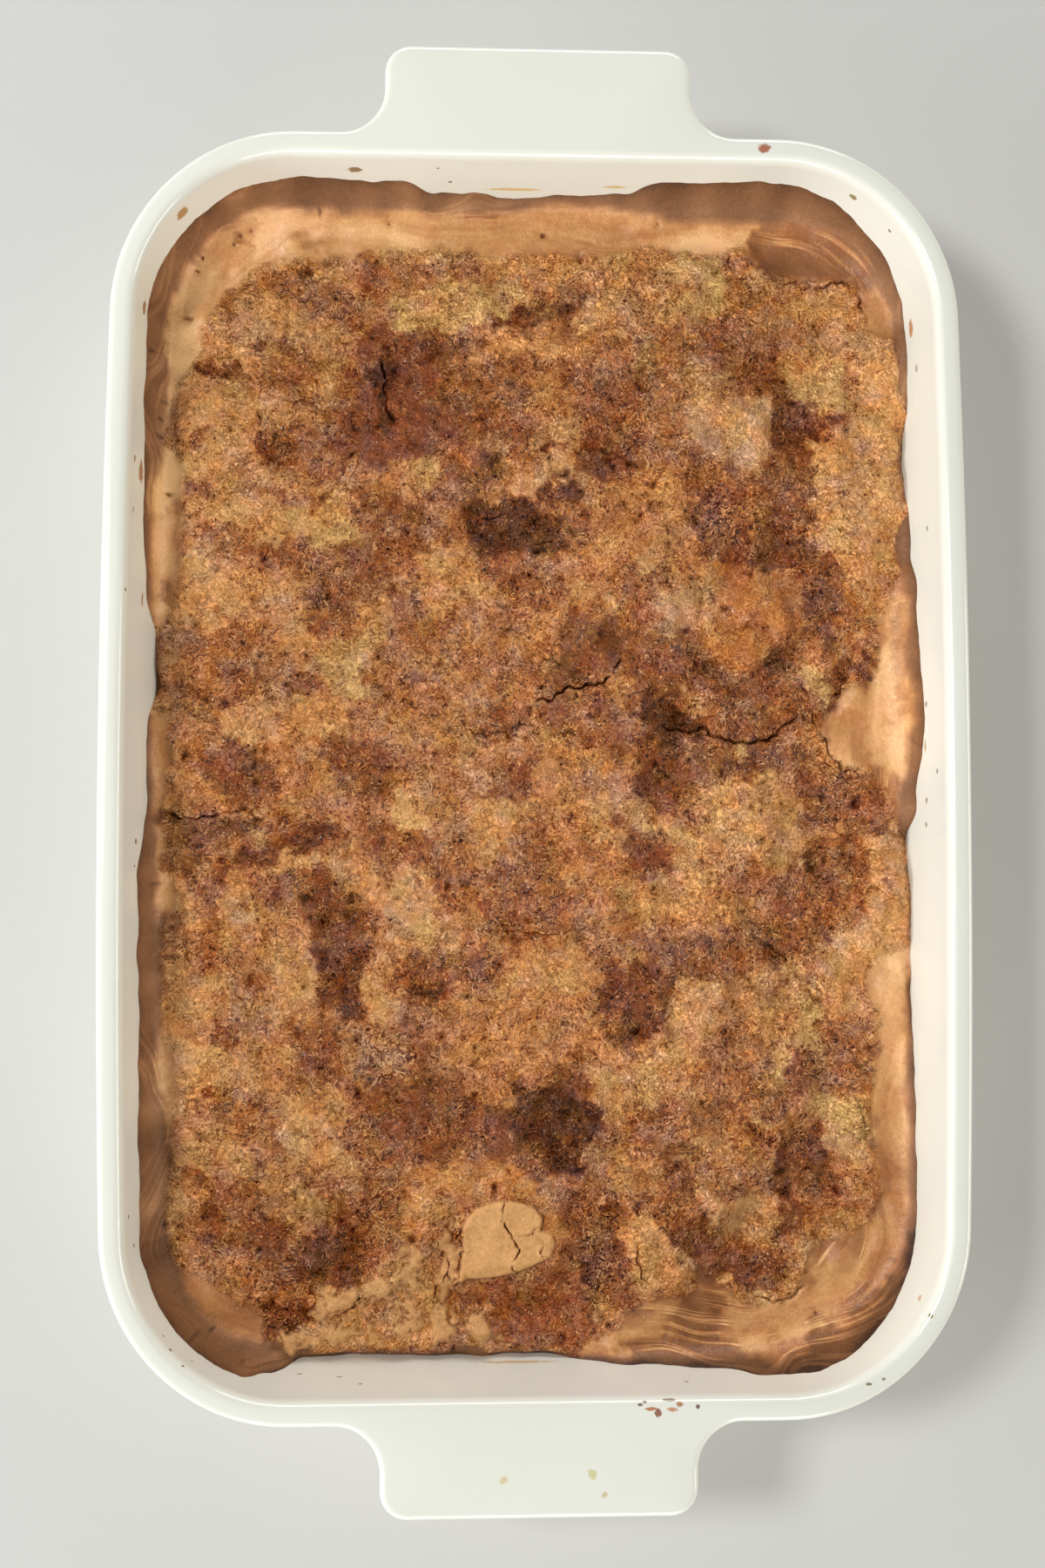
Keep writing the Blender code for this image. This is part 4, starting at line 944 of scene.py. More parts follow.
    ("umber", 0.62, (-106, -41, -98, -38, -94, -42, -96, -52, -103, -54, -106, -50)),
    ("gold", 0.4, (-97, -44, 3.5, 4, 0)), ("brown", 0.6, (-97, -28, -91, -30, -90, -50, -96, -58)),
    ("brown", 0.8, (-93.5, -32.5, 1.3, 1, 0)),
    ("brown", 0.58, (-50, -12, -40, -14, -32, -18, -34, -30, -42, -30, -50, -22)),
    ("olive", 0.2, (-39, -6, -34, -8, -29, -12, -31, -17, -36, -17, -40, -11)),
    # middle
    ("brown", 0.6, (-16, 63, 8, 64, 10, 50, 0, 46, -12, 50, -18, 54)),
    ("orange", 0.32, (-32, 64, -24, 66, -18, 60, -14, 54, -18, 46, -24, 44, -32, 48)),
    ("gold", 0.2, (-30, 65, -24, 66, -23, 58, -30, 57)),
    ("brown", 0.5, (-34, 46, -18, 46, -4, 46, -2, 34, -4, 22, -20, 18, -34, 20)),
    ("orange", 0.42, (-4, 46, 6, 46, 6, 34, 0, 32, -5, 36)), ("orange", 0.46, (-3, 24, 3.5, 9, 0)),
    ("orange", 0.42, (10, 66, 20, 64, 34, 62, 30, 50, 26, 44, 16, 46, 10, 52)),
    ("cream", 0.25, (13, 62, 2.5, 2.5, 0)), ("gold", 0.3, (13, 55, 3, 4, 0)),
    ("gold", 0.25, (34, 60, 5, 2, 0)), ("gold", 0.3, (22, 50, 3.5, 4, 0)),
    ("brown", 0.58, (24, 62, 34, 58, 48, 60, 50, 54, 36, 52, 28, 42, 24, 48)),
    ("bare", 0.74, (8, 46, 14, 47, 21, 45, 28, 42, 27, 36, 26, 31, 22, 28, 15, 27, 8, 27, 5, 34, 7, 41)),
    ("brown", 0.6, (0, 30, 8, 28, 22, 27, 30, 24, 32, 10, 24, 4, 10, 10, 0, 16)),
    ("orange", 0.45, (24, 23, 3.5, 2, -20)), ("brown", 0.6, (-20, 20, -2, 20, -1, 12, -8, 10, -20, 11)),
    ("umber", 0.78, (-4, 13.5, 3, 1.8, 25)), ("gold", 0.28, (4.7, 8, 1.6, 5, 0)),
    ("gold", 0.42, (-33, 15, -20, 14, -19, 3, -33, 3)), ("cream", 0.4, (-20, 2, -8, 3, -7, -5, -18, -9)),
    ("plum", 0.66, (-11, 4, 0, 5, 0, -6, -6, -9, -11, -5)),
    ("gold", 0.2, (-14, -10, -6, -7.5, -4.5, -14, -8, -20, -14, -22, -19, -21, -17, -16)),
    ("orange", 0.3, (-1, 2, 6, 3, 13, 0, 12, -10, 2, -10)),
    ("orange", 0.42, (4, -10, 17, -6, 20, -20, 10, -26, 4, -20)),
    ("brown", 0.56, (-6, -9, 4, -10, 6, -30, -4, -30)),
    ("gold", 0.26, (17, -9, 26, -8, 31, -13, 42, -13, 50, -18, 56, -24, 50, -34, 44, -46, 34, -46,
                    30, -34, 38, -26, 38, -19, 30, -17, 29, -20, 20, -20, 16, -14)),
    ("brown", 0.62, (24.5, -16, 4.5, 2.6, 0)),
    ("plum", 0.68, (28, -20, 34, -18, 40, -20, 40, -27, 30, -31, 24, -30, 25, -24)),
    ("brown", 0.6, (-35, -16, -20, -18, -18, -30, -18, -42, -30, -42, -34, -30)),
    ("gold", 0.38, (-16, -23, 4, 6, 0)), ("brown", 0.6, (-16, -28, 4, -28, 10, -38, 8, -46, -14, -46)),
    ("orange", 0.46, (8, -22, 20, -20, 26, -32, 24, -40, 10, -40)), ("gold", 0.3, (10, -33, 3, 2.4, 0)),
    ("gold", 0.3, (-38, -40, -22, -40, -18, -46, -24, -52, -36, -52)),
    ("cream", 0.07, (-43, -34, -38, -29, -33, -30, -30, -38, -32, -46, -38, -47, -44, -42)),
    ("brown", 0.5, (10, -40, 24, -38, 30, -46, 26, -54, 12, -52)),
    ("olive", 0.42, (25, -37, 2.5, 5, -15)),
    ("orange", 0.3, (-11, -50, 2, -52, 14, -53, 15, -64, 0, -62, -10, -62)),
    ("brown", 0.64, (-40, -52, -26, -51, -12, -52, -12, -62, -26, -63, -40, -60)),
    ("plum", 0.5, (40, 23, 50, 23, 50, 14, 42, 16)),
    ("umber", 0.92, (32, 23, 38, 23, 43, 17, 50, 14, 50, 9.5, 42, 7, 35, 8, 31, 12)),
    ("plum", 0.66, (28, 44, 36, 42, 50, 42, 50, 23, 32, 22, 28, 30)),
    ("cream", 0.13, (35, 50, 40, 54, 47, 52, 49, 46, 46, 40, 38, 41, 35, 45)),
    ("gold", 0.22, (47, 55, 7, 3.5, 0)),
    # middle right
    ("brown", 0.62, (50, 34, 78, 36, 80, 28, 82, 16, 78, 8, 62, 6, 50, 10)),
    ("toffee", 0.49, (52, 60, 60, 63, 70, 61, 77, 56, 77, 46, 75, 41, 69, 38, 68, 32, 60, 30, 53, 31,
                      50, 38, 49, 46)),
    ("umber", 0.82, (68, 38, 73, 38, 74, 32, 70, 28, 67, 31)),
    ("plum", 0.74, (71, 63, 80, 64, 87, 62, 93, 56, 92, 47, 90, 41, 84, 37, 78, 38, 78, 48, 76, 57)),
    ("orange", 0.55, (90, 58, 96, 54, 97, 40, 92, 34, 88, 38, 91, 46)),
    ("gold", 0.32, (96, 60, 104, 60, 101, 45, 99, 30, 94, 32, 97, 42)),
    ("brown", 0.74, (83, 30, 89, 33, 98, 32, 97, 29, 92, 28, 89, 22, 85, 17, 81, 18, 84, 24)),
    ("olive", 0.3, (78, 31, 83, 32, 84, 24, 81, 19, 79, 24)),
    ("umber", 0.68, (50, 9, 62, 7, 80, 8, 86, 2, 80, -2, 66, 0, 54, -4, 44, -8, 36, -10, 31, -2, 36, 7)),
    ("olive", 0.45, (59, 5.5, 3, 2.5, 0)), ("cream", 0.5, (43, 5, 3, 3, 0)),
    ("plum", 0.7, (30, 8, 40, 6, 48, 0, 46, -10, 34, -11, 29, -4)),
    ("brown", 0.64, (76, 0, 90, 0, 98, 0, 101, -6, 104, -15, 103, -20, 98, -23, 96, -31, 94, -38, 88, -42,
                     85, -50, 76, -51, 70, -47, 66, -40, 68, -32, 74, -26, 78, -20, 77, -10)),
    ("gold", 0.4, (84, -17, 6, 2.6, 0)), ("umber", 0.88, (77, -25.5, 1.8, 1.8, 0)),
    ("gold", 0.27, (51, -7, 58, -3, 66, 0, 74, 1, 75, -8, 77, -20, 72, -28, 66, -33, 58, -31, 48, -32,
                    43, -28, 44, -18, 50, -14)),
    ("gold", 0.14, (69, -12, 74, -14, 76, -20, 73, -28, 70, -30, 69, -20)),
    ("brown", 0.5, (56, -26, 66, -25, 68, -38, 60, -42, 52, -40, 52, -32)),
    ("orange", 0.34, (38, -32, 50, -32, 54, -40, 62, -46, 44, -46, 36, -40)),
    ("gold", 0.2, (98, -20, 109, -21, 109, -62, 84, -62, 82, -54, 88, -46, 95, -40, 97, -30)),
    ("brown", 0.7, (100, -32.5, 1.5, 1, 0)),
    ("umber", 0.66, (60, -43, 68, -45, 76, -50, 74, -57, 66, -56, 60, -50)),
    ("brown", 0.62, (44, -46, 58, -46, 64, -52, 60, -58, 46, -58)),
    ("plum", 0.66, (28, -47, 40, -47, 48, -52, 46, -60, 38, -62, 30, -58)),
    # near left
    ("gold", 0.27, (-104, -56, -92, -58, -84, -62, -84, -76, -80, -92, -100, -94, -103, -78)),
    ("brown", 0.5, (-92, -50, -74, -50, -76, -62, -92, -60)),
    ("brown", 0.5, (-92, -62, -80, -62, -78, -76, -92, -76)), ("brown", 0.62, (-86, -72, 4.5, 2.5, 0)),
    ("gold", 0.24, (-75, -55, -66, -55, -62, -64, -65, -74, -74, -74)),
    ("plum", 0.8, (-61, -52, -54, -49, -47, -52, -46, -60, -49, -70, -56, -71, -61, -66)),
    ("umber", 0.95, (-53, -64, 2.5, 5, 0)),
    ("gold", 0.28, (-47, -52, -39, -50, -38, -68, -45, -71, -48, -62)),
    ("brown", 0.62, (-70, -72, -58, -71, -54, -88, -66, -90, -70, -82)),
    ("gold", 0.33, (-88, -76, -72, -78, -70, -90, -84, -92)), ("brown", 0.64, (-86, -94, 4, 5, 0)),
    ("brown", 0.58, (-82, -92, -72, -92, -70, -103, -78, -104, -83, -99)),
    ("gold", 0.31, (-72, -88, -58, -90, -50, -100, -50, -112, -70, -112, -72, -102)),
    ("gold", 0.22, (-64, -96, 4, 4, 0)), ("gold", 0.35, (-100, -100, -82, -104, -78, -114, -96, -117)),
    ("cream", 0.2, (-82, -109.5, 2.4, 3.5, 0)), ("brown", 0.62, (-96, -113, 3, 2, 0)),
    ("brown", 0.56, (-98, -116, -80, -114, -78, -128, -98, -130)),
    ("brown", 0.74, (-91, -124, 3.5, 6, 0)),
    ("plum", 0.68, (-94, -130, -84, -128, -74, -127, -69, -131, -70, -136, -80, -137, -92, -136)),
    ("gold", 0.3, (-74, -116, -62, -116, -60, -128, -70, -131, -76, -126)),
    ("orange", 0.5, (-60, -116, -52, -116, -50, -129, -60, -130)),
    ("plum", 0.78, (-72, -136, -62, -130, -51, -131, -46, -136, -49, -143, -58, -146, -66, -148,
                    -74, -144)),
    ("umber", 0.88, (-59, -137.5, 4, 3, 0)),
    ("brown", 0.58, (-84, -137, -72, -137, -70, -149, -80, -150)),
    ("brown", 0.86, (-75, -149, -69, -150, -63, -149, -60, -152, -60, -157, -66, -159, -72, -158,
                     -75, -154)),
    ("brown", 0.6, (-56, -70, -40, -72, -32, -60, -30, -84, -28, -108, -42, -112, -54, -108, -52, -88)),
    ("cream", 0.45, (-52, -72, -38, -74, -38, -86, -52, -86)),
    ("plum", 0.68, (-46, -90, -34, -88, -26, -86, -20, -92, -20, -108, -34, -110, -46, -106)),
    ("brown", 0.58, (-50, -112, -40, -112, -38, -128, -42, -142, -50, -140)),
    ("orange", 0.52, (-35.5, -124, 2.8, 6, 0)), ("umber", 0.75, (-35, -118, 2, 0.9, 0)),
    ("brown", 0.85, (-96, -93, 1, 1.4, 0)), ("brown", 0.8, (-90, -53, 1.2, 1, 0)),
    # near middle
    ("plum", 0.66, (-28, -50, -10, -50, -10, -62, -24, -62)), ("umber", 0.93, (-30, -63.5, 4, 1.6, -15)),
    ("orange", 0.4, (-24, -64, -10, -60, 10, -58, 18, -66, 22, -82, 10, -84, 4, -90, -18, -90, -24, -80)),
    ("gold", 0.3, (-6, -61, 5, 4, -40)), ("gold", 0.3, (6, -59, 8, 3.5, 0)),
    ("orange", 0.44, (-20, -86, -5, -86, -4, -97, -16, -98)),
    ("plum", 0.68, (4, -82, 16, -81, 18, -96, 6, -95)),
    ("plum", 0.7, (-28, -90, -18, -96, -6, -97, -5, -110, -20, -109, -30, -104)),
    ("umber", 0.9, (-4, -91, 2, -91, 9, -94, 18, -97, 20, -101, 20, -106, 15, -109, 13, -114, 8, -116,
                    4, -113, 0, -110, -5, -108, -6, -99)),
    ("umber", 0.76, (8, -105, 3.5, 2.5, 0)), ("plum", 0.66, (-6, -108, 4, -112, 4, -119, -5, -118)),
    ("gold", 0.22, (16, -86, 25, -85, 26, -97, 18, -97)),
    ("gold", 0.28, (24, -82, 44, -80, 46, -92, 34, -97, 26, -94)),
    ("orange", 0.36, (18, -74, 32, -78, 32, -83, 20, -84)),
    ("plum", 0.76, (20, -58, 26, -54, 34, -56, 39, -60, 38, -70, 34, -76, 28, -78, 22, -73, 18, -66)),
    ("gold", 0.2, (40, -60, 53, -59, 52, -72, 46, -76, 47, -84, 40, -82)),
    ("brown", 0.56, (22, -98, 44, -94, 46, -112, 38, -118, 22, -106)),
    ("orange", 0.36, (22, -106, 30, -107, 38, -114, 36, -120, 24, -120)),
    ("plum", 0.55, (18, -104, 23, -103, 24, -120, 18, -122)),
    ("brown", 0.62, (6, -118, 20, -120, 28, -124, 28, -150, 10, -152, 8, -140, 6, -132)),
    ("plum", 0.72, (18, -122, 26, -124, 26, -146, 18, -140)), ("plum", 0.8, (15, -141, 3.5, 7, 0)),
    ("toffee", 0.42, (-36, -110, -20, -109, -5, -112, 4, -119, 8, -130, 6, -138, 2, -122, -12, -119,
                      -22, -124, -28, -130, -36, -128)),
    ("gold", 0.33, (-34, -118, -24, -118, -22, -126, -30, -131)),
    ("gold", 0.24, (32, -123, 36, -126, 37, -131, 42, -138, 45, -144, 40, -149, 33, -149, 28, -142,
                    25, -134, 28, -127)),
    ("umber", 0.9, (33, -124, 1.6, 1, 0)),
    ("jam", 0.62, (-25, -147, -20, -144.5, -11, -144.5, 0, -142, 8, -139.5, 10, -142, 7, -146, 0, -148,
                   -10, -148.5, -14, -150.5, -20, -151, -25, -150)),
    ("syrup", 0.68, (-12, -148, 0, -149, 8, -147, 16, -148, 16, -160, 10, -164, -6, -164, -10, -158)),
    ("gold", 0.3, (-74, -163, -60, -164, -30, -163, -28, -150, -31, -134, -40, -134, -48, -144, -62, -146,
                   -62, -156, -72, -160)),
    ("syrup", 0.84, (6, -163, 2.4, 1.6, 0)), ("jam", 0.7, (-34, -165.5, 10, 1.2, 0)),
    # near right
    ("gold", 0.36, (58, -58, 82, -56, 84, -68, 78, -80, 64, -76, 58, -68)),
    ("olive", 0.3, (74, -66, 84, -66, 80, -80, 72, -80)),
    ("brown", 0.5, (50, -72, 64, -76, 78, -82, 76, -92, 58, -92, 50, -86)),
    ("brown", 0.58, (53, -76, 3.5, 5, 0)), ("olive", 0.3, (71, -83, 4, 4, 0)),
    ("umber", 0.62, (60, -88, 72, -88, 73, -98, 60, -98)),
    ("plum", 0.7, (74, -79, 81, -79, 81, -92, 74, -92)),
    ("plum", 0.58, (82, -74, 89, -71, 96, -74, 98, -82, 95, -90, 86, -94, 80, -90)),
    ("brown", 0.52, (40, -92, 60, -92, 74, -98, 72, -114, 56, -112, 40, -116)),
    ("gold", 0.22, (50, -105.5, 3.5, 2.5, 0)), ("olive", 0.25, (64, -99.5, 3.5, 1.6, 0)),
    ("brown", 0.62, (62, -103, 4.5, 2.5, 0)), ("gold", 0.32, (58, -108, 70, -108, 69, -115, 60, -115)),
    ("olive", 0.3, (78, -93, 92, -92, 94, -100, 90, -110, 84, -108, 80, -101)),
    ("cream", 0.16, (87, -106, 4, 3.5, 0)), ("plum", 0.78, (70, -104, 75, -103, 76, -132, 70, -132)),
    ("plum", 0.72, (75, -104, 80, -101, 84, -103, 86, -110, 88, -118, 91, -126, 87, -130, 80, -121,
                    75, -118)),
    ("orange", 0.47, (75, -120, 86, -122, 87, -130, 76, -132)),
    ("brown", 0.6, (36, -118, 47, -116, 50, -132, 44, -136, 38, -132)),
    ("gold", 0.28, (45, -116, 52, -117, 50, -122, 45, -121)),
    ("gold", 0.3, (58, -122, 70, -122, 70, -132, 60, -132)),
    ("cream", 0.1, (50, -124, 55, -121, 60, -123, 60, -129, 54, -132, 50, -129)),
    ("plum", 0.7, (40, -132, 50, -132, 56, -138, 52, -142, 44, -141)),
    ("plum", 0.7, (57, -134, 64, -133, 69, -136, 73, -141, 75, -146, 70, -150, 66, -150.5, 60, -149,
                   54, -144, 52, -139)),
    ("orange", 0.42, (72, -147.5, 3.5, 2.4, 30)),
    ("jam", 0.6, (46, -141, 51, -142.5, 54, -147, 53, -152, 47, -151, 45, -146)),
    ("gold", 0.25, (53.5, -143, 2, 1.8, 0)), ("gold", 0.36, (76, -132, 84, -133, 80, -140, 76, -146)),
    # skins along the far wall
    ("gold", 0.27, (-118, 96, -106, 95, -99, 113, -93, 130, -85, 142, -78, 148, -50, 149, -25, 151,
                    10, 151, 34, 154, 50, 152, 60, 157, 64, 148, 80, 144, 97, 144, 110, 130, 112, 178,
                    -112, 178)),
    ("olive", 0.25, (-106, 140, -97, 140, -96, 122, -100, 112, -106, 114)),
    ("orange", 0.4, (-98, 146, -90, 160, -80, 160, -82, 150, -92, 142)),
    ("umber", 0.45, (-66, 153, 4, 2, 0)),
    ("gold", 0.2, (-60, 150, -30, 152, -28, 164, -46, 164, -60, 160)),
    ("brown", 0.5, (-34, 163.5, -24, 161, -12, 161.5, 0, 165, -10, 169, -34, 170)),
    ("gold", 0.33, (-14, 153, 10, 151, 30, 152, 30, 165, 0, 163.5, -12, 160)),
    ("gold", 0.28, (33, 162, 40, 168, 66, 168, 67, 161, 58, 158, 42, 158)),
    ("cream", 0.12, (36, 157, 42, 152, 54, 152, 60, 157, 50, 158)),
    ("plum", 0.6, (66, 147, 66, 160, 72, 165, 80, 170, 88, 170, 97, 162, 104, 151, 107, 142, 100, 140,
                   95, 144, 86, 146, 78, 145)),
    ("cream", 0.36, (97, 143, 104, 143, 108, 136, 104, 128, 98, 131)),
    ("plum", 0.66, (66, 154, 3.5, 5, 0)), ("brown", 0.7, (-85, 155, 1.4, 1.2, 0)),
    ("brown", 0.7, (-97, 147, 1.2, 1.2, 0)),
    # skins along the left wall
    ("olive", 0.24, (-112, 93, -101, 90, -100, 76, -111, 72)),
    ("gold", 0.3, (-112, 72, -100, 72, -101, 58, -104, 44, -112, 44)),
    ("umber", 0.7, (-105, 51, 0.9, 3, 0)),
    ("gold", 0.38, (-112, 18, -104, 18, -103, 5, -105, -10, -105.5, -28, -112, -30)),
    ("gold", 0.22, (-109.5, -30, -103, -30.5, -100.5, -37, -104, -41, -109, -38)),
    ("gold", 0.38, (-112, -42, -105, -48, -105.5, -66, -112, -66)),
    ("gold", 0.28, (-112, -68, -103, -76, -101, -95, -102, -112, -104, -128, -112, -112)),
    ("gold", 0.48, (-107, -138, -98, -139, -88, -144, -80, -150, -76, -156, -80, -162, -92, -159,
                    -104, -150)),
    ("plum", 0.5, (-84, -150, -77, -151, -74, -158, -80, -164, -88, -162)),
    ("olive", 0.5, (-97, -150, -90, -150, -87, -156, -92, -159, -97, -155)),
    # skins along the near and right walls
    ("gold", 0.36, (14, -163, 26, -156, 46, -150, 56, -150, 56, -168, 30, -169)),
    ("gold", 0.3, (52, -153, 62, -152, 74, -150, 84, -142, 96, -132, 104, -118, 107, -100, 104, -128,
                   92, -148, 74, -160, 56, -165)),
    ("plum", 0.66, (28, -168, 50, -166.5, 66, -166.5, 74, -160.5, 86, -156.5, 97, -154, 104, -149,
                    109, -146, 106, -154, 98, -162, 90, -168, 78, -173, 50, -173)),
    ("plum", 0.36, (97, -130, 102, -122, 106, -130, 106, -144, 100, -147, 92, -142)),
    ("gold", 0.28, (92, -58, 108, -58, 108, -100, 103, -112, 97, -106, 96, -90, 99, -78, 96, -66)),
    ("orange", 0.34, (82, -57, 92, -57, 98, -64, 92, -70, 86, -70)),
    ("gold", 0.2, (84, 16, 86, 6, 92, 2, 100, 2, 108, -4, 110, 20, 108, 56, 103, 52, 100, 36, 95, 25,
                   88, 21)),
    ("orange", 0.27, (85, 15, 88, 5, 97, 4, 98, 18, 92, 20)),
    ("orange", 0.36, (103, 28, 108, 27, 109, 15, 103, 14)),
    ("cream", 0.4, (103, 48, 110, 50, 111, 28, 105, 28)), ("brown", 0.8, (81.5, -156, 1.6, 1.4, 0)),
    # the brown bare skin along the near right corner
    ("bare", 0.72, (23, -163, 37, -157, 46, -160, 54, -166, 70, -163.5, 84, -157, 96, -151, 106, -136,
                    112, -140, 108, -155, 94, -168, 64, -176, 38, -174)),
    ("bare", 0.66, (37, -154, 44, -150, 54, -152, 57, -158, 52, -164, 42, -162)),
    ("bare", 0.5, (88, -128, 9, 4, 50)),
)
# Places where thin pale strands of crust cross dark syrup
LACE = (
    (-55, 136, 8, 7, 0), (34, 136, 8, 15, 0), (-44, -80, 9, 9, 0), (14, -65, 7, 8, 0), (-43, -124, 4, 9, 0),
    (34, 110, 5, 9, 0), (18, -134, 7, 14, 0), (84, -82, 6, 8, 0), (-60, 60, 8, 6, 0), (60, 72, 14, 8, 0),
)
PATCH_SWAY = ((3.0, 17.0), (4.0, 8.0), (2.6, 3.5), (1.4, 1.7))    # heights and sizes, in mm
REACH_SWAY = ((1.0, 8.0), (0.3, 3.0))
STREAK_SWAY = ((9.0, 40.0), (1.6, 12.0))
MOTTLE = ((0.06, 9.0), (0.11, 4.2))           # uneven browning within a patch
HUE_DRIFT = ((1.3, 11.0), (1.3, 3.6))
CRUST_PALER = 0.265           # the crumbly crust is this much paler than its patches say
# painted light: the top is coloured paler towards the wall, half as much again at the left, against the
# walls' shade
WALL_SHADE_LIFT = 0.1              # and it pales by this much towards the wall
FILM_BROWNING = 0.6
FILM_EDGE_DARKENING = 0.2


def cover(x, y, shape, edge):
    """How far a patch covers each point, from its outline or its oval, with a soft edge in mm."""
    mask = np.zeros(len(x))
    if len(shape) == 5:
        reach = max(shape[2], shape[3]) + edge
        near = np.flatnonzero((np.abs(x - shape[0]) < reach) & (np.abs(y - shape[1]) < reach))
        thin = min(shape[2], shape[3])
        mask[near] = smooth(0.5 + (1 - oval_reach(x[near], y[near], shape)) * thin / edge)
        return mask
    outline = np.array(shape, float).reshape(-1, 2)
    low = outline.min(0) - edge
    high = outline.max(0) + edge
    near = np.flatnonzero((x > low[0]) & (x < high[0]) & (y > low[1]) & (y < high[1]))
    mask[near] = smooth(0.5 + depth_inside(x[near], y[near], [tuple(spot) for spot in outline]) / edge)
    return mask


def cake_fields(x, y, gap, place, hollow_shade, dry):
    """Values for each point of the top that the relief and the material read."""
    east = uneven(x, x, y, PATCH_SWAY, 31.0)
    north = uneven(y, x, y, PATCH_SWAY, 41.0)
    skin = skin_cover(0.65 * x + 0.35 * east, 0.65 * y + 0.35 * north)
    browning = np.full(len(x), 0.46)
    hue = np.zeros((len(x), 3))
    for name, brown, shape in PATCHES:
        mask = cover(east, north, shape, 3.0 if len(shape) > 5 else 1.6)
        browning += (brown - browning) * mask
        hue += (np.array(HUES[name]) - hue) * mask[:, None]
    sticky = np.maximum(skin, hue[:, 2])
    browning = 0.4 + np.where(browning > 0.4, 1.1, 1.15) * (browning - 0.4) - CRUST_PALER * (1 - skin)
    browning += uneven(0.0, x, y, MOTTLE, 61.0) * (1 - 0.6 * sticky) - 0.1 * skin * (x < -60) * (y > 20)
    # painted light near the walls, where their shade falls on the top
    browning -= WALL_SHADE_LIFT * np.exp(-gap / 14.0) * (1 + 0.5 * (x < -90))
    reach = by_wall(x, y, REACH_STATIONS)
    reach += uneven(0.0, x, y, REACH_SWAY, 51.0) * smooth(reach / 2)
    film = smooth((reach - 0.2) / 0.5) * smooth((reach - gap) / 1.6 + 0.5)
    # painted shade: the film along the near wall is darker, twice as much on the right half, where the lamps
    # light it most; then uneven tone
    darker = 0.1 * (y < -130) * (1 + (x > 0)) + relief(x, y, 0.2, 9.0, 65.0)
    # and a thin darker line where the film meets the wall
    darker += FILM_EDGE_DARKENING * np.exp(-gap / 0.4)
    browning += (FILM_BROWNING + darker - browning) * film
    turn = 2 * math.pi * place / EDGE_COUNT
    girth = EDGE_COUNT * EDGE_PITCH / (2 * math.pi)
    across = uneven(gap, x, y, STREAK_SWAY, 71.0)
    calm = np.maximum(skin, film)
    return {
        "browning": browning,
        "lean": uneven(0.25 + hue[:, 0] * (1 - film), x, y, HUE_DRIFT, 67.0),
        "olive": hue[:, 1] + 0.4 * skin + relief(x, y, 0.7, 7.0, 68.0),
        "skin": calm,
        "film": film,
        "dry": dry,
        "lace": np.max([cover(east, north, shape, 4.0) for shape in LACE], axis=0),
        "hollow_shade": np.clip(hollow_shade, 0.0, 1.0),
        "streak": np.column_stack((across, girth * np.cos(turn), girth * np.sin(turn))),
        "crumbly": (1 - calm) * (1 - dry) * (1 - 0.75 * hue[:, 2]),
    }


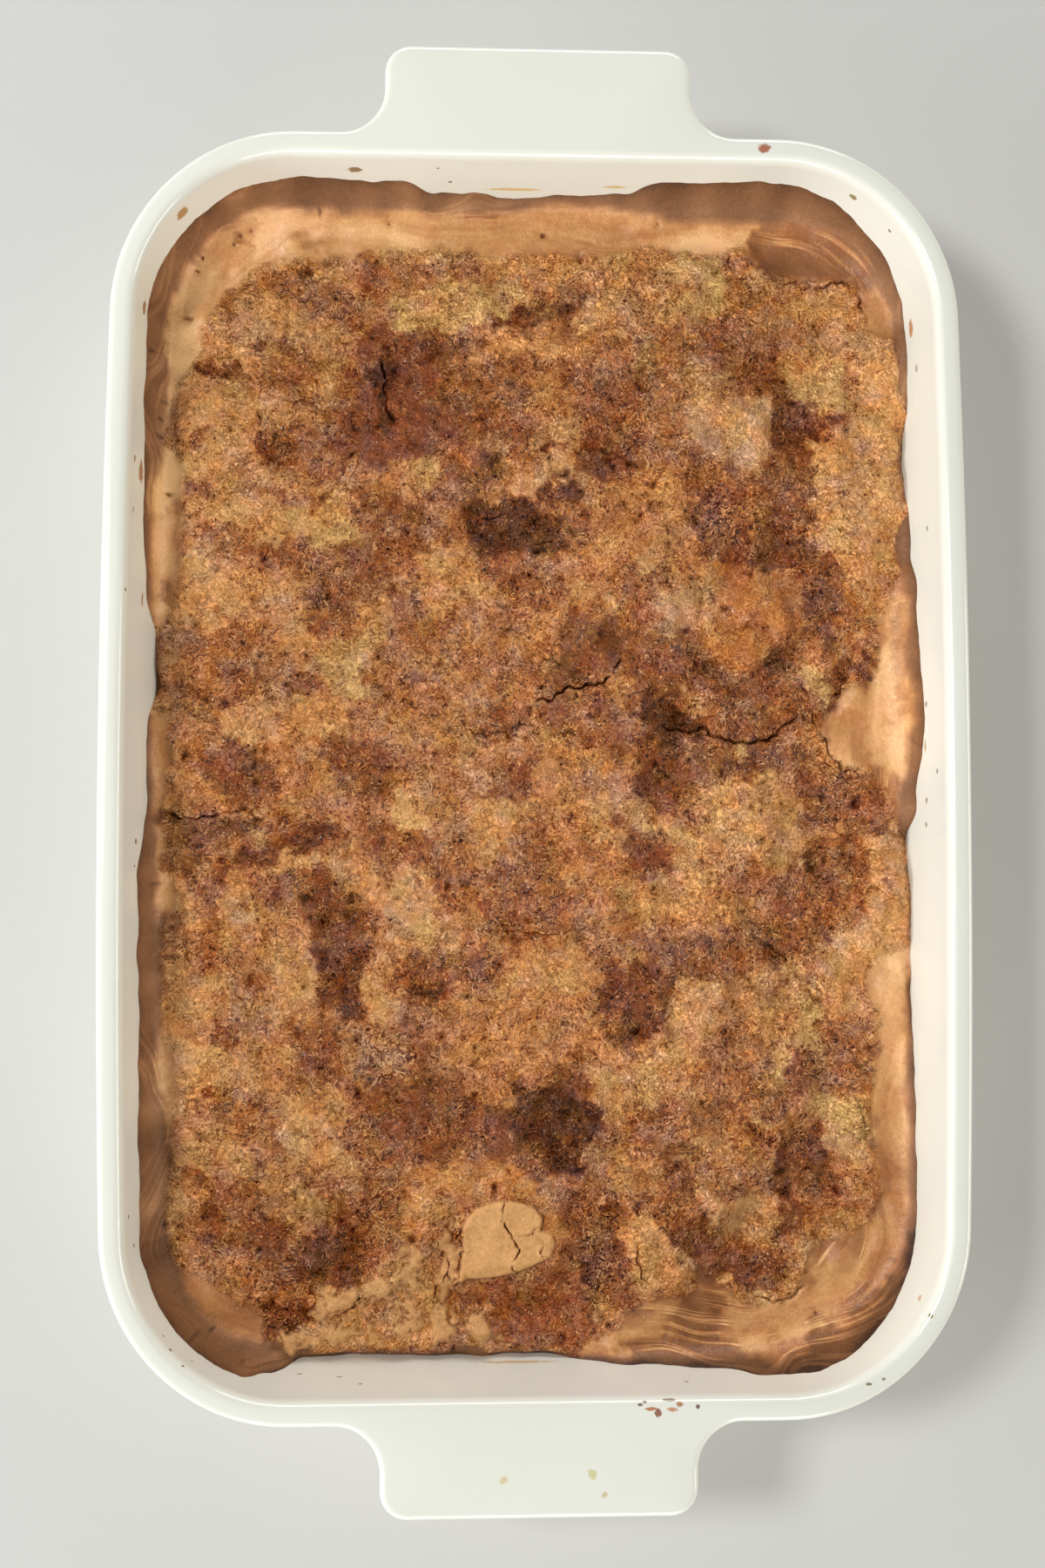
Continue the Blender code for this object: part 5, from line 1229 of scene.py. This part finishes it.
def relief_tree(material):
    """Geometry Nodes for the crumb: rounded grains, finer grit, and faint ridges on the skins."""
    tree = bpy.data.node_groups.new("crumb relief", "GeometryNodeTree")
    sockets = tree.interface
    sockets.new_socket("Geometry", in_out="INPUT", socket_type="NodeSocketGeometry")
    for name in ("Grain size", "Grain height", "Grit size", "Grit height", "Ridge height"):
        sockets.new_socket(name, in_out="INPUT", socket_type="NodeSocketFloat")
    sockets.new_socket("Geometry", in_out="OUTPUT", socket_type="NodeSocketGeometry")
    given = add(tree, "NodeGroupInput").outputs
    place = add(tree, "GeometryNodeInputPosition").outputs[0]
    crumbly, skin, streak = (
        add(tree, "GeometryNodeInputNamedAttribute", {"Name": name}, data_type=kind).outputs[0]
        for name, kind in (("crumbly", "FLOAT"), ("skin", "FLOAT"), ("streak", "FLOAT_VECTOR")))
    grain_scale, grit_scale = (
        add(tree, "ShaderNodeMath", {0: 1.0, 1: given[name]}, operation="DIVIDE").outputs[0]
        for name in ("Grain size", "Grit size"))
    cells = add(tree, "ShaderNodeTexVoronoi",
                {"Vector": place, "Scale": grain_scale, "Smoothness": 0.5, "Randomness": 1.0},
                feature="SMOOTH_F1").outputs["Distance"]
    grain = add(tree, "ShaderNodeMath", {0: 0.45, 1: cells}, operation="SUBTRACT").outputs[0]
    grit = add(tree, "ShaderNodeTexNoise", {"Vector": place, "Scale": grit_scale, "Detail": 2.0}).outputs[0]
    grit = add(tree, "ShaderNodeMath", {0: grit, 1: 0.5}, operation="SUBTRACT").outputs[0]
    high = add(tree, "ShaderNodeMath", {0: grain, 1: given["Grain height"]}, operation="MULTIPLY").outputs[0]
    high = add(tree, "ShaderNodeMath", {0: grit, 1: given["Grit height"], 2: high},
               operation="MULTIPLY_ADD").outputs[0]
    high = add(tree, "ShaderNodeMath", {0: high, 1: crumbly}, operation="MULTIPLY").outputs[0]
    lanes = add(tree, "ShaderNodeVectorMath", {0: streak, 1: (0.45, 0.06, 0.06)},
                operation="MULTIPLY").outputs[0]
    ridge = add(tree, "ShaderNodeTexNoise", {"Vector": lanes, "Scale": 1.0, "Detail": 2.0,
                                             "Distortion": 0.4}).outputs[0]
    ridge = add(tree, "ShaderNodeMath", {0: ridge, 1: 0.5}, operation="SUBTRACT").outputs[0]
    ridge = add(tree, "ShaderNodeMath", {0: ridge, 1: given["Ridge height"]}, operation="MULTIPLY").outputs[0]
    high = add(tree, "ShaderNodeMath", {0: ridge, 1: skin, 2: high}, operation="MULTIPLY_ADD").outputs[0]
    lift = add(tree, "ShaderNodeCombineXYZ", {"Z": high}).outputs[0]
    moved = add(tree, "GeometryNodeSetPosition", {"Geometry": given["Geometry"], "Offset": lift}).outputs[0]
    share = add(tree, "ShaderNodeMath", {0: high, 1: given["Grain height"]}, operation="DIVIDE").outputs[0]
    kept = add(tree, "GeometryNodeStoreNamedAttribute", {"Geometry": moved, "Name": "grain", "Value": share},
               data_type="FLOAT", domain="POINT").outputs[0]
    real = add(tree, "GeometryNodeRealizeInstances", {"Geometry": kept}).outputs[0]
    done = add(tree, "GeometryNodeSetMaterial", {"Geometry": real, "Material": material}).outputs[0]
    add(tree, "NodeGroupOutput", {"Geometry": done})
    return tree


def apply_tree(piece, tree, sizes):
    """Run a Geometry Nodes tree on a piece with its named sizes, and keep the plain mesh."""
    modifier = piece.modifiers.new("shape", "NODES")
    modifier.node_group = tree
    for item in tree.interface.items_tree:
        if item.name in sizes and item.in_out == "INPUT":
            modifier[item.identifier] = sizes[item.name]
    depsgraph = bpy.context.evaluated_depsgraph_get()
    mesh = bpy.data.meshes.new_from_object(piece.evaluated_get(depsgraph), preserve_all_data_layers=True,
                                           depsgraph=depsgraph)
    piece.modifiers.clear()
    piece.data = mesh
    mesh.name = piece.name


# Colours from pale gold to burnt syrup at each tone, for every way that a hue can lean
TONES = (0.0, 0.15, 0.3, 0.45, 0.6, 0.75, 0.88, 1.0)
SHADES = {
    "golden": "#FCB57A #E2985C #C57841 #A85B2E #8D4A27 #753A18 #5E2C08 #3E1000",
    "orange": "#FCAA60 #E28E44 #C56D26 #A85118 #8D4010 #753106 #5E2400 #3E0E00",
    "grey": "#FCC296 #E2A47A #C58462 #A8664C #8D5446 #754438 #5E3628 #3E1A14",
    "olive": "#FCC576 #E2A758 #C5873C #A8682A #8D5624 #754616 #5E3808 #3E1C00",
    "red": "#FCA980 #E28C64 #C56C48 #A85036 #8D3F2D #75301F #5E2210 #3E0604",
    "skin": "#FAC99C #DEAC7D #C18F63 #A5764E #8D613D #754E2E #5E3B1F #3E210F",
}
# Noise: what it is read along, its size in mm, octaves, roughness and swirl
PATTERNS = {
    "speckle": ("place", 1.5, 3.0, 0.65, 1.2),
    "flake": ("place", 1.8, 3.0, 0.6, 2.0),
    "curl": ("place", 2.8, 2.0, 0.5, 2.4),
    "often": ("place", 5.0, 2.0, 0.5, 0.0),
    "crease": ("place", 2.2, 2.0, 0.5, 2.0),
    "creased": ("place", 3.6, 2.0, 0.5, 0.0),
    "drift": ("place", 1.3, 2.0, 0.5, 0.0),
    "swell": ("place", 2.0, 1.0, 0.5, 1.2),
    "flow": ("lanes", 1.0, 4.0, 0.5, 0.8),
    "streaky": ("lanes", 1.4, 2.0, 0.5, 0.0),
    "line": ("fine lanes", 1.0, 2.0, 0.5, 0.3),
}
PORE_SPACING = 2.8
# How the crust's marks, tone, hue, gloss and height are worked out. Each row is one value: its name,
# what is done, and with what. EDGE eases from 1 at the first number to 0 at the second.
STEPS = (
    # torn flakes, more of them where the crust is browner
    ("browner", "SUBTRACT", "browning", 0.32),
    ("flake", "MULTIPLY_ADD", "browner", 0.2, "flake"),
    ("flake", "EDGE", "flake", 0.02, -0.02),
    ("flake", "SUBTRACT", "flake", 0.5),
    # pale strands with a painted shadow beside them
    ("breadth", "MULTIPLY_ADD", "lace", 0.02, 0.05),
    ("curl", "DIVIDE", "curl", "breadth"),
    ("strand", "ABSOLUTE", "curl"),
    ("strand", "EDGE", "strand", 0.4, 1.0),
    ("gap", "SUBTRACT", "curl", 1.7),
    ("gap", "ABSOLUTE", "gap"),
    ("gap", "EDGE", "gap", 0.3, 0.8),
    ("often", "EDGE", "often", 0.04, -0.06),
    ("often", "MULTIPLY_ADD", "often", 0.55, 0.45),
    ("often", "MAXIMUM", "often", "lace"),
    ("strand", "MULTIPLY", "strand", "often"),
    ("gap", "MULTIPLY", "gap", "often"),
    # creases and pores, which are coloured darker as painted shade
    ("crease", "ABSOLUTE", "crease"),
    ("crease", "EDGE", "crease", 0.02, 0.05),
    ("creased", "EDGE", "creased", 0.1, 0.0),
    ("crease", "MULTIPLY", "crease", "creased"),
    ("pore", "MULTIPLY", "cell", 0.26),
    ("pore", "SUBTRACT", "from cell", "pore"),
    ("pore", "EDGE", "pore", -0.06, 0.0),
    # pale lines along the wall, on the darker skins
    ("line", "ABSOLUTE", "line"),
    ("line", "EDGE", "line", 0.0, 0.06),
    ("streaky", "EDGE", "streaky", 0.06, -0.06),
    ("line", "MULTIPLY", "line", "streaky"),
    ("darker", "EDGE", "browning", 0.5, 0.24),
    ("line", "MULTIPLY", "line", "darker"),
    ("swirl", "MULTIPLY", "film", 0.6),
    ("swirl", "SUBTRACT", 1.0, "swirl"),
    ("swirl", "MULTIPLY", "swirl", "skin"),
    # tone: the marks of the crumbly crust, those of the skins, the browning, and painted shade in the
    # hollows, in the creases and pores and beside the strands
    ("tone", "MULTIPLY", "speckle", 0.2),
    ("tone", "MULTIPLY_ADD", "flake", 0.16, "tone"),
    ("tone", "MULTIPLY_ADD", "strand", -0.4, "tone"),
    # painted shadow beside each strand, and painted shade in the creases
    ("tone", "MULTIPLY_ADD", "gap", 0.38, "tone"),
    ("tone", "MULTIPLY_ADD", "crease", 0.32, "tone"),
    ("tone", "MULTIPLY_ADD", "lace", 0.05, "tone"),
    # painted shade in the pores, and painted light and shade on the grain: high paler, low darker
    ("tone", "MULTIPLY_ADD", "pore", 0.4, "tone"),
    ("tone", "MULTIPLY_ADD", "grain", -0.15, "tone"),
    ("tone", "MULTIPLY", "tone", "crumbly"),
    ("speckled skin", "MULTIPLY", "speckle", "skin"),
    ("tone", "MULTIPLY_ADD", "speckled skin", 0.3, "tone"),
    ("marbled", "MULTIPLY", "flow", 0.7),
    ("marbled", "MULTIPLY_ADD", "line", -0.4, "marbled"),
    ("tone", "MULTIPLY_ADD", "marbled", "swirl", "tone"),
    ("tone", "ADD", "tone", "browning"),
    # painted shade in the cracks, pores and round the lumps
    ("tone", "MULTIPLY_ADD", "hollow_shade", 0.4, "tone"),
    # hue: how far the colour leans each way
    ("orange", "MULTIPLY_ADD", "drift", 1.2, "lean"),
    ("grey", "MULTIPLY", "orange", -1.0),
    ("red", "MULTIPLY", "olive", -1.0),
    ("milky", "MULTIPLY", "skin", 0.5),
    ("milky", "MULTIPLY_ADD", "film", 0.4, "milky"),
    ("dust", "ADD", "speckle", 0.5),
    # painted shade in the hollows of the dry mix
    ("dry hollow", "MULTIPLY", "hollow_shade", "dry"),
    # gloss
    ("silky", "MULTIPLY", "skin", 0.33),
    ("silky", "MULTIPLY_ADD", "film", 0.25, "silky"),
    # height
    ("high", "MULTIPLY", "swell", 1.3),
    ("high", "MULTIPLY_ADD", "strand", 0.7, "high"),
    ("high", "MULTIPLY_ADD", "gap", -0.4, "high"),
    ("high", "MULTIPLY_ADD", "flake", -0.3, "high"),
    ("high", "MULTIPLY_ADD", "crease", -0.4, "high"),
    ("high", "MULTIPLY_ADD", "pore", -0.7, "high"),
    ("high", "MULTIPLY", "high", "crumbly"),
    ("wavy", "MULTIPLY_ADD", "line", 0.2, "flow"),
    ("wavy", "MULTIPLY", "wavy", 0.3),
    ("high", "MULTIPLY_ADD", "wavy", "swirl", "high"),
    ("high", "MULTIPLY_ADD", "speckled skin", -0.2, "high"),
    ("gritty", "MULTIPLY", "speckle", "dry"),
    ("high", "MULTIPLY_ADD", "gritty", 0.4, "high"),
)
# Baked cake crust: a sponge of sugar, flour and fat, toasted from gold to brown and soaked from
# below with syrup. The eye gets wet glints on torn brown flakes and pale strands, a silky sheen on
# the smooth skins, and dull, floury dry mix.
crust, tree, shader = new_material("baked cake crust")
place = add(tree, "ShaderNodeTexCoord").outputs["Object"]
streak = add(tree, "ShaderNodeAttribute", attribute_name="streak").outputs["Vector"]
value = {name: add(tree, "ShaderNodeAttribute", attribute_name=name).outputs["Fac"]
         for name in ("browning", "lean", "olive", "skin", "film", "dry", "lace", "hollow_shade", "grain",
                      "crumbly")}
along = {"place": (place, 1000.0)}            # what noise is read along, and how many mm make its unit
for name, squeeze in (("lanes", (0.13, 0.022, 0.022)), ("fine lanes", (0.44, 0.012, 0.012))):
    lanes = add(tree, "ShaderNodeVectorMath", {0: streak, 1: squeeze}, operation="MULTIPLY").outputs[0]
    along[name] = (lanes, 1.0)
for name, (way, size, octaves, roughness, swirl) in PATTERNS.items():
    vector, unit = along[way]
    pattern = add(tree, "ShaderNodeTexNoise", {"Vector": vector, "Scale": unit / size, "Detail": octaves,
                                               "Roughness": roughness, "Distortion": swirl}).outputs["Fac"]
    value[name] = add(tree, "ShaderNodeMath", {0: pattern, 1: 0.5}, operation="SUBTRACT").outputs[0]
cells = add(tree, "ShaderNodeTexVoronoi", {"Vector": place, "Scale": 1000 / PORE_SPACING}).outputs
value["from cell"] = cells["Distance"]
value["cell"] = cells["Color"]
for name, operation, *terms in STEPS:
    terms = [value.get(term, term) for term in terms]
    if operation == "EDGE":
        ends = dict(zip(("Value", "From Min", "From Max", "To Min", "To Max"), terms + [1.0, 0.0]))
        node = add(tree, "ShaderNodeMapRange", ends, interpolation_type="SMOOTHSTEP")
    else:
        node = add(tree, "ShaderNodeMath", dict(enumerate(terms)), operation=operation)
    value[name] = node.outputs[0]
shades = {name: add(tree, "ShaderNodeValToRGB", {"Fac": value["tone"]},
                    stops=list(zip(TONES, row.split()))).outputs["Color"]
          for name, row in SHADES.items()}
dust = add(tree, "ShaderNodeValToRGB", {"Fac": value["dust"]},
           stops=[(0.25, "#CE9357"), (0.5, "#E2A869"), (0.75, "#F0B87C")]).outputs["Color"]
look = shades["golden"]
# the last mix lays painted shade, a dark brown, into the hollows of the dry mix
for share, shade in (("orange", shades["orange"]), ("grey", shades["grey"]), ("olive", shades["olive"]),
                     ("red", shades["red"]), ("milky", shades["skin"]), ("dry", dust),
                     ("dry hollow", linear("#5E3413"))):
    look = add(tree, "ShaderNodeMix", {0: value[share], 6: look, 7: shade}, data_type="RGBA").outputs[2]
tree.links.new(look, shader.inputs["Base Color"])
wet = add(tree, "ShaderNodeMapRange", {"Value": value["tone"], "From Min": 0.3, "From Max": 0.7,
                                       "To Min": 0.26, "To Max": 0.11}).outputs[0]
dull = add(tree, "ShaderNodeMath", {0: wet, 1: value["silky"]}, operation="MAXIMUM").outputs[0]
dull = add(tree, "ShaderNodeMath", {0: value["dry"], 1: 0.4, 2: dull}, operation="MULTIPLY_ADD").outputs[0]
tree.links.new(dull, shader.inputs["Roughness"])
bump = add(tree, "ShaderNodeBump", {"Height": value["high"], "Strength": 0.95, "Distance": 0.0013})
tree.links.new(bump.outputs["Normal"], shader.inputs["Normal"])
shader.inputs["IOR"].default_value = 1.42

cake_crust = make_cake()
apply_tree(cake_crust, relief_tree(crust), {
    "Grain size": 2.3 * MM, "Grain height": 0.6 * MM, "Grit size": 1.6 * MM, "Grit height": 0.7 * MM,
    "Ridge height": 0.5 * MM})
cake_crust.data.set_sharp_from_angle(angle=math.radians(80))
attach(cake_crust, "root")
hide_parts("cake")

# ------------------------------------------------------------------------------- Floor, light and camera
# A pale matt floor in a bright room: one small window high on the left, which gives the glints,
# soft light from all four sides, and the camera nearly straight over the dish.
FLOOR_HALF = 3.0
corners = [(-FLOOR_HALF, -FLOOR_HALF, 0.0), (FLOOR_HALF, -FLOOR_HALF, 0.0),
           (FLOOR_HALF, FLOOR_HALF, 0.0), (-FLOOR_HALF, FLOOR_HALF, 0.0)]
floor_mesh = bpy.data.meshes.new("floor")
floor_mesh.from_pydata(corners, [], [(0, 1, 2, 3)])
floor = bpy.data.objects.new("floor", floor_mesh)
bpy.context.scene.collection.objects.link(floor)
paper, tree, shader = new_material("pale matt paper")
shader.inputs["Base Color"].default_value = linear("#C9C8C4")
shader.inputs["Roughness"].default_value = 0.9
floor_mesh.materials.append(paper)


LIT_SPOT = Vector((0.0, 0.0, 0.03))


def add_light(name, where, size_x, size_y, power, warmth):
    """A soft rectangular light that faces the cake: place and size in metres, power in watts."""
    light = bpy.data.lights.new(name, "AREA")
    light.shape = "RECTANGLE"
    light.size = size_x
    light.size_y = size_y
    light.energy = power
    light.color = warmth
    lamp = bpy.data.objects.new(name, light)
    lamp.location = where
    lamp.rotation_euler = (LIT_SPOT - Vector(where)).to_track_quat("-Z", "Y").to_euler()
    bpy.context.scene.collection.objects.link(lamp)


add_light("window", (-0.66, 0.16, 1.1), 0.24, 0.24, 8.8, (0.99, 1.0, 1.01))
add_light("left side of the room", (-1.2, -0.3, 0.33), 0.9, 0.4, 11.0, (0.98, 1.0, 1.01))
add_light("near side of the room", (0.0, -1.15, 0.33), 0.9, 0.4, 7.3, (1.0, 1.0, 1.0))
add_light("far side of the room", (0.1, 1.15, 0.33), 0.9, 0.4, 7.1, (1.0, 1.0, 1.02))
add_light("right side of the room", (1.2, -0.2, 0.33), 0.9, 0.4, 7.3, (1.0, 0.97, 0.88))
world = bpy.data.worlds.new("room")
world.use_nodes = True
world.node_tree.nodes["Background"].inputs["Color"].default_value = (1.0, 1.0, 1.0, 1.0)
world.node_tree.nodes["Background"].inputs["Strength"].default_value = 0.15
bpy.context.scene.world = world
bpy.context.scene.view_settings.view_transform = "Standard"
CAMERA_PLACE = (-23.3, -28.3, HEIGHT + 449.0)
CAMERA_TURN = (2.988, -2.392, -0.021)
SENSOR_HEIGHT = 36.0
LENS_LENGTH = 38.18
camera_data = bpy.data.cameras.new("camera")
camera_data.sensor_fit = "VERTICAL"
camera_data.sensor_height = SENSOR_HEIGHT
camera_data.lens = LENS_LENGTH
camera = bpy.data.objects.new("camera", camera_data)
camera.location = Vector(CAMERA_PLACE) * MM
camera.rotation_euler = [math.radians(turn) for turn in CAMERA_TURN]
bpy.context.scene.collection.objects.link(camera)
bpy.context.scene.camera = camera
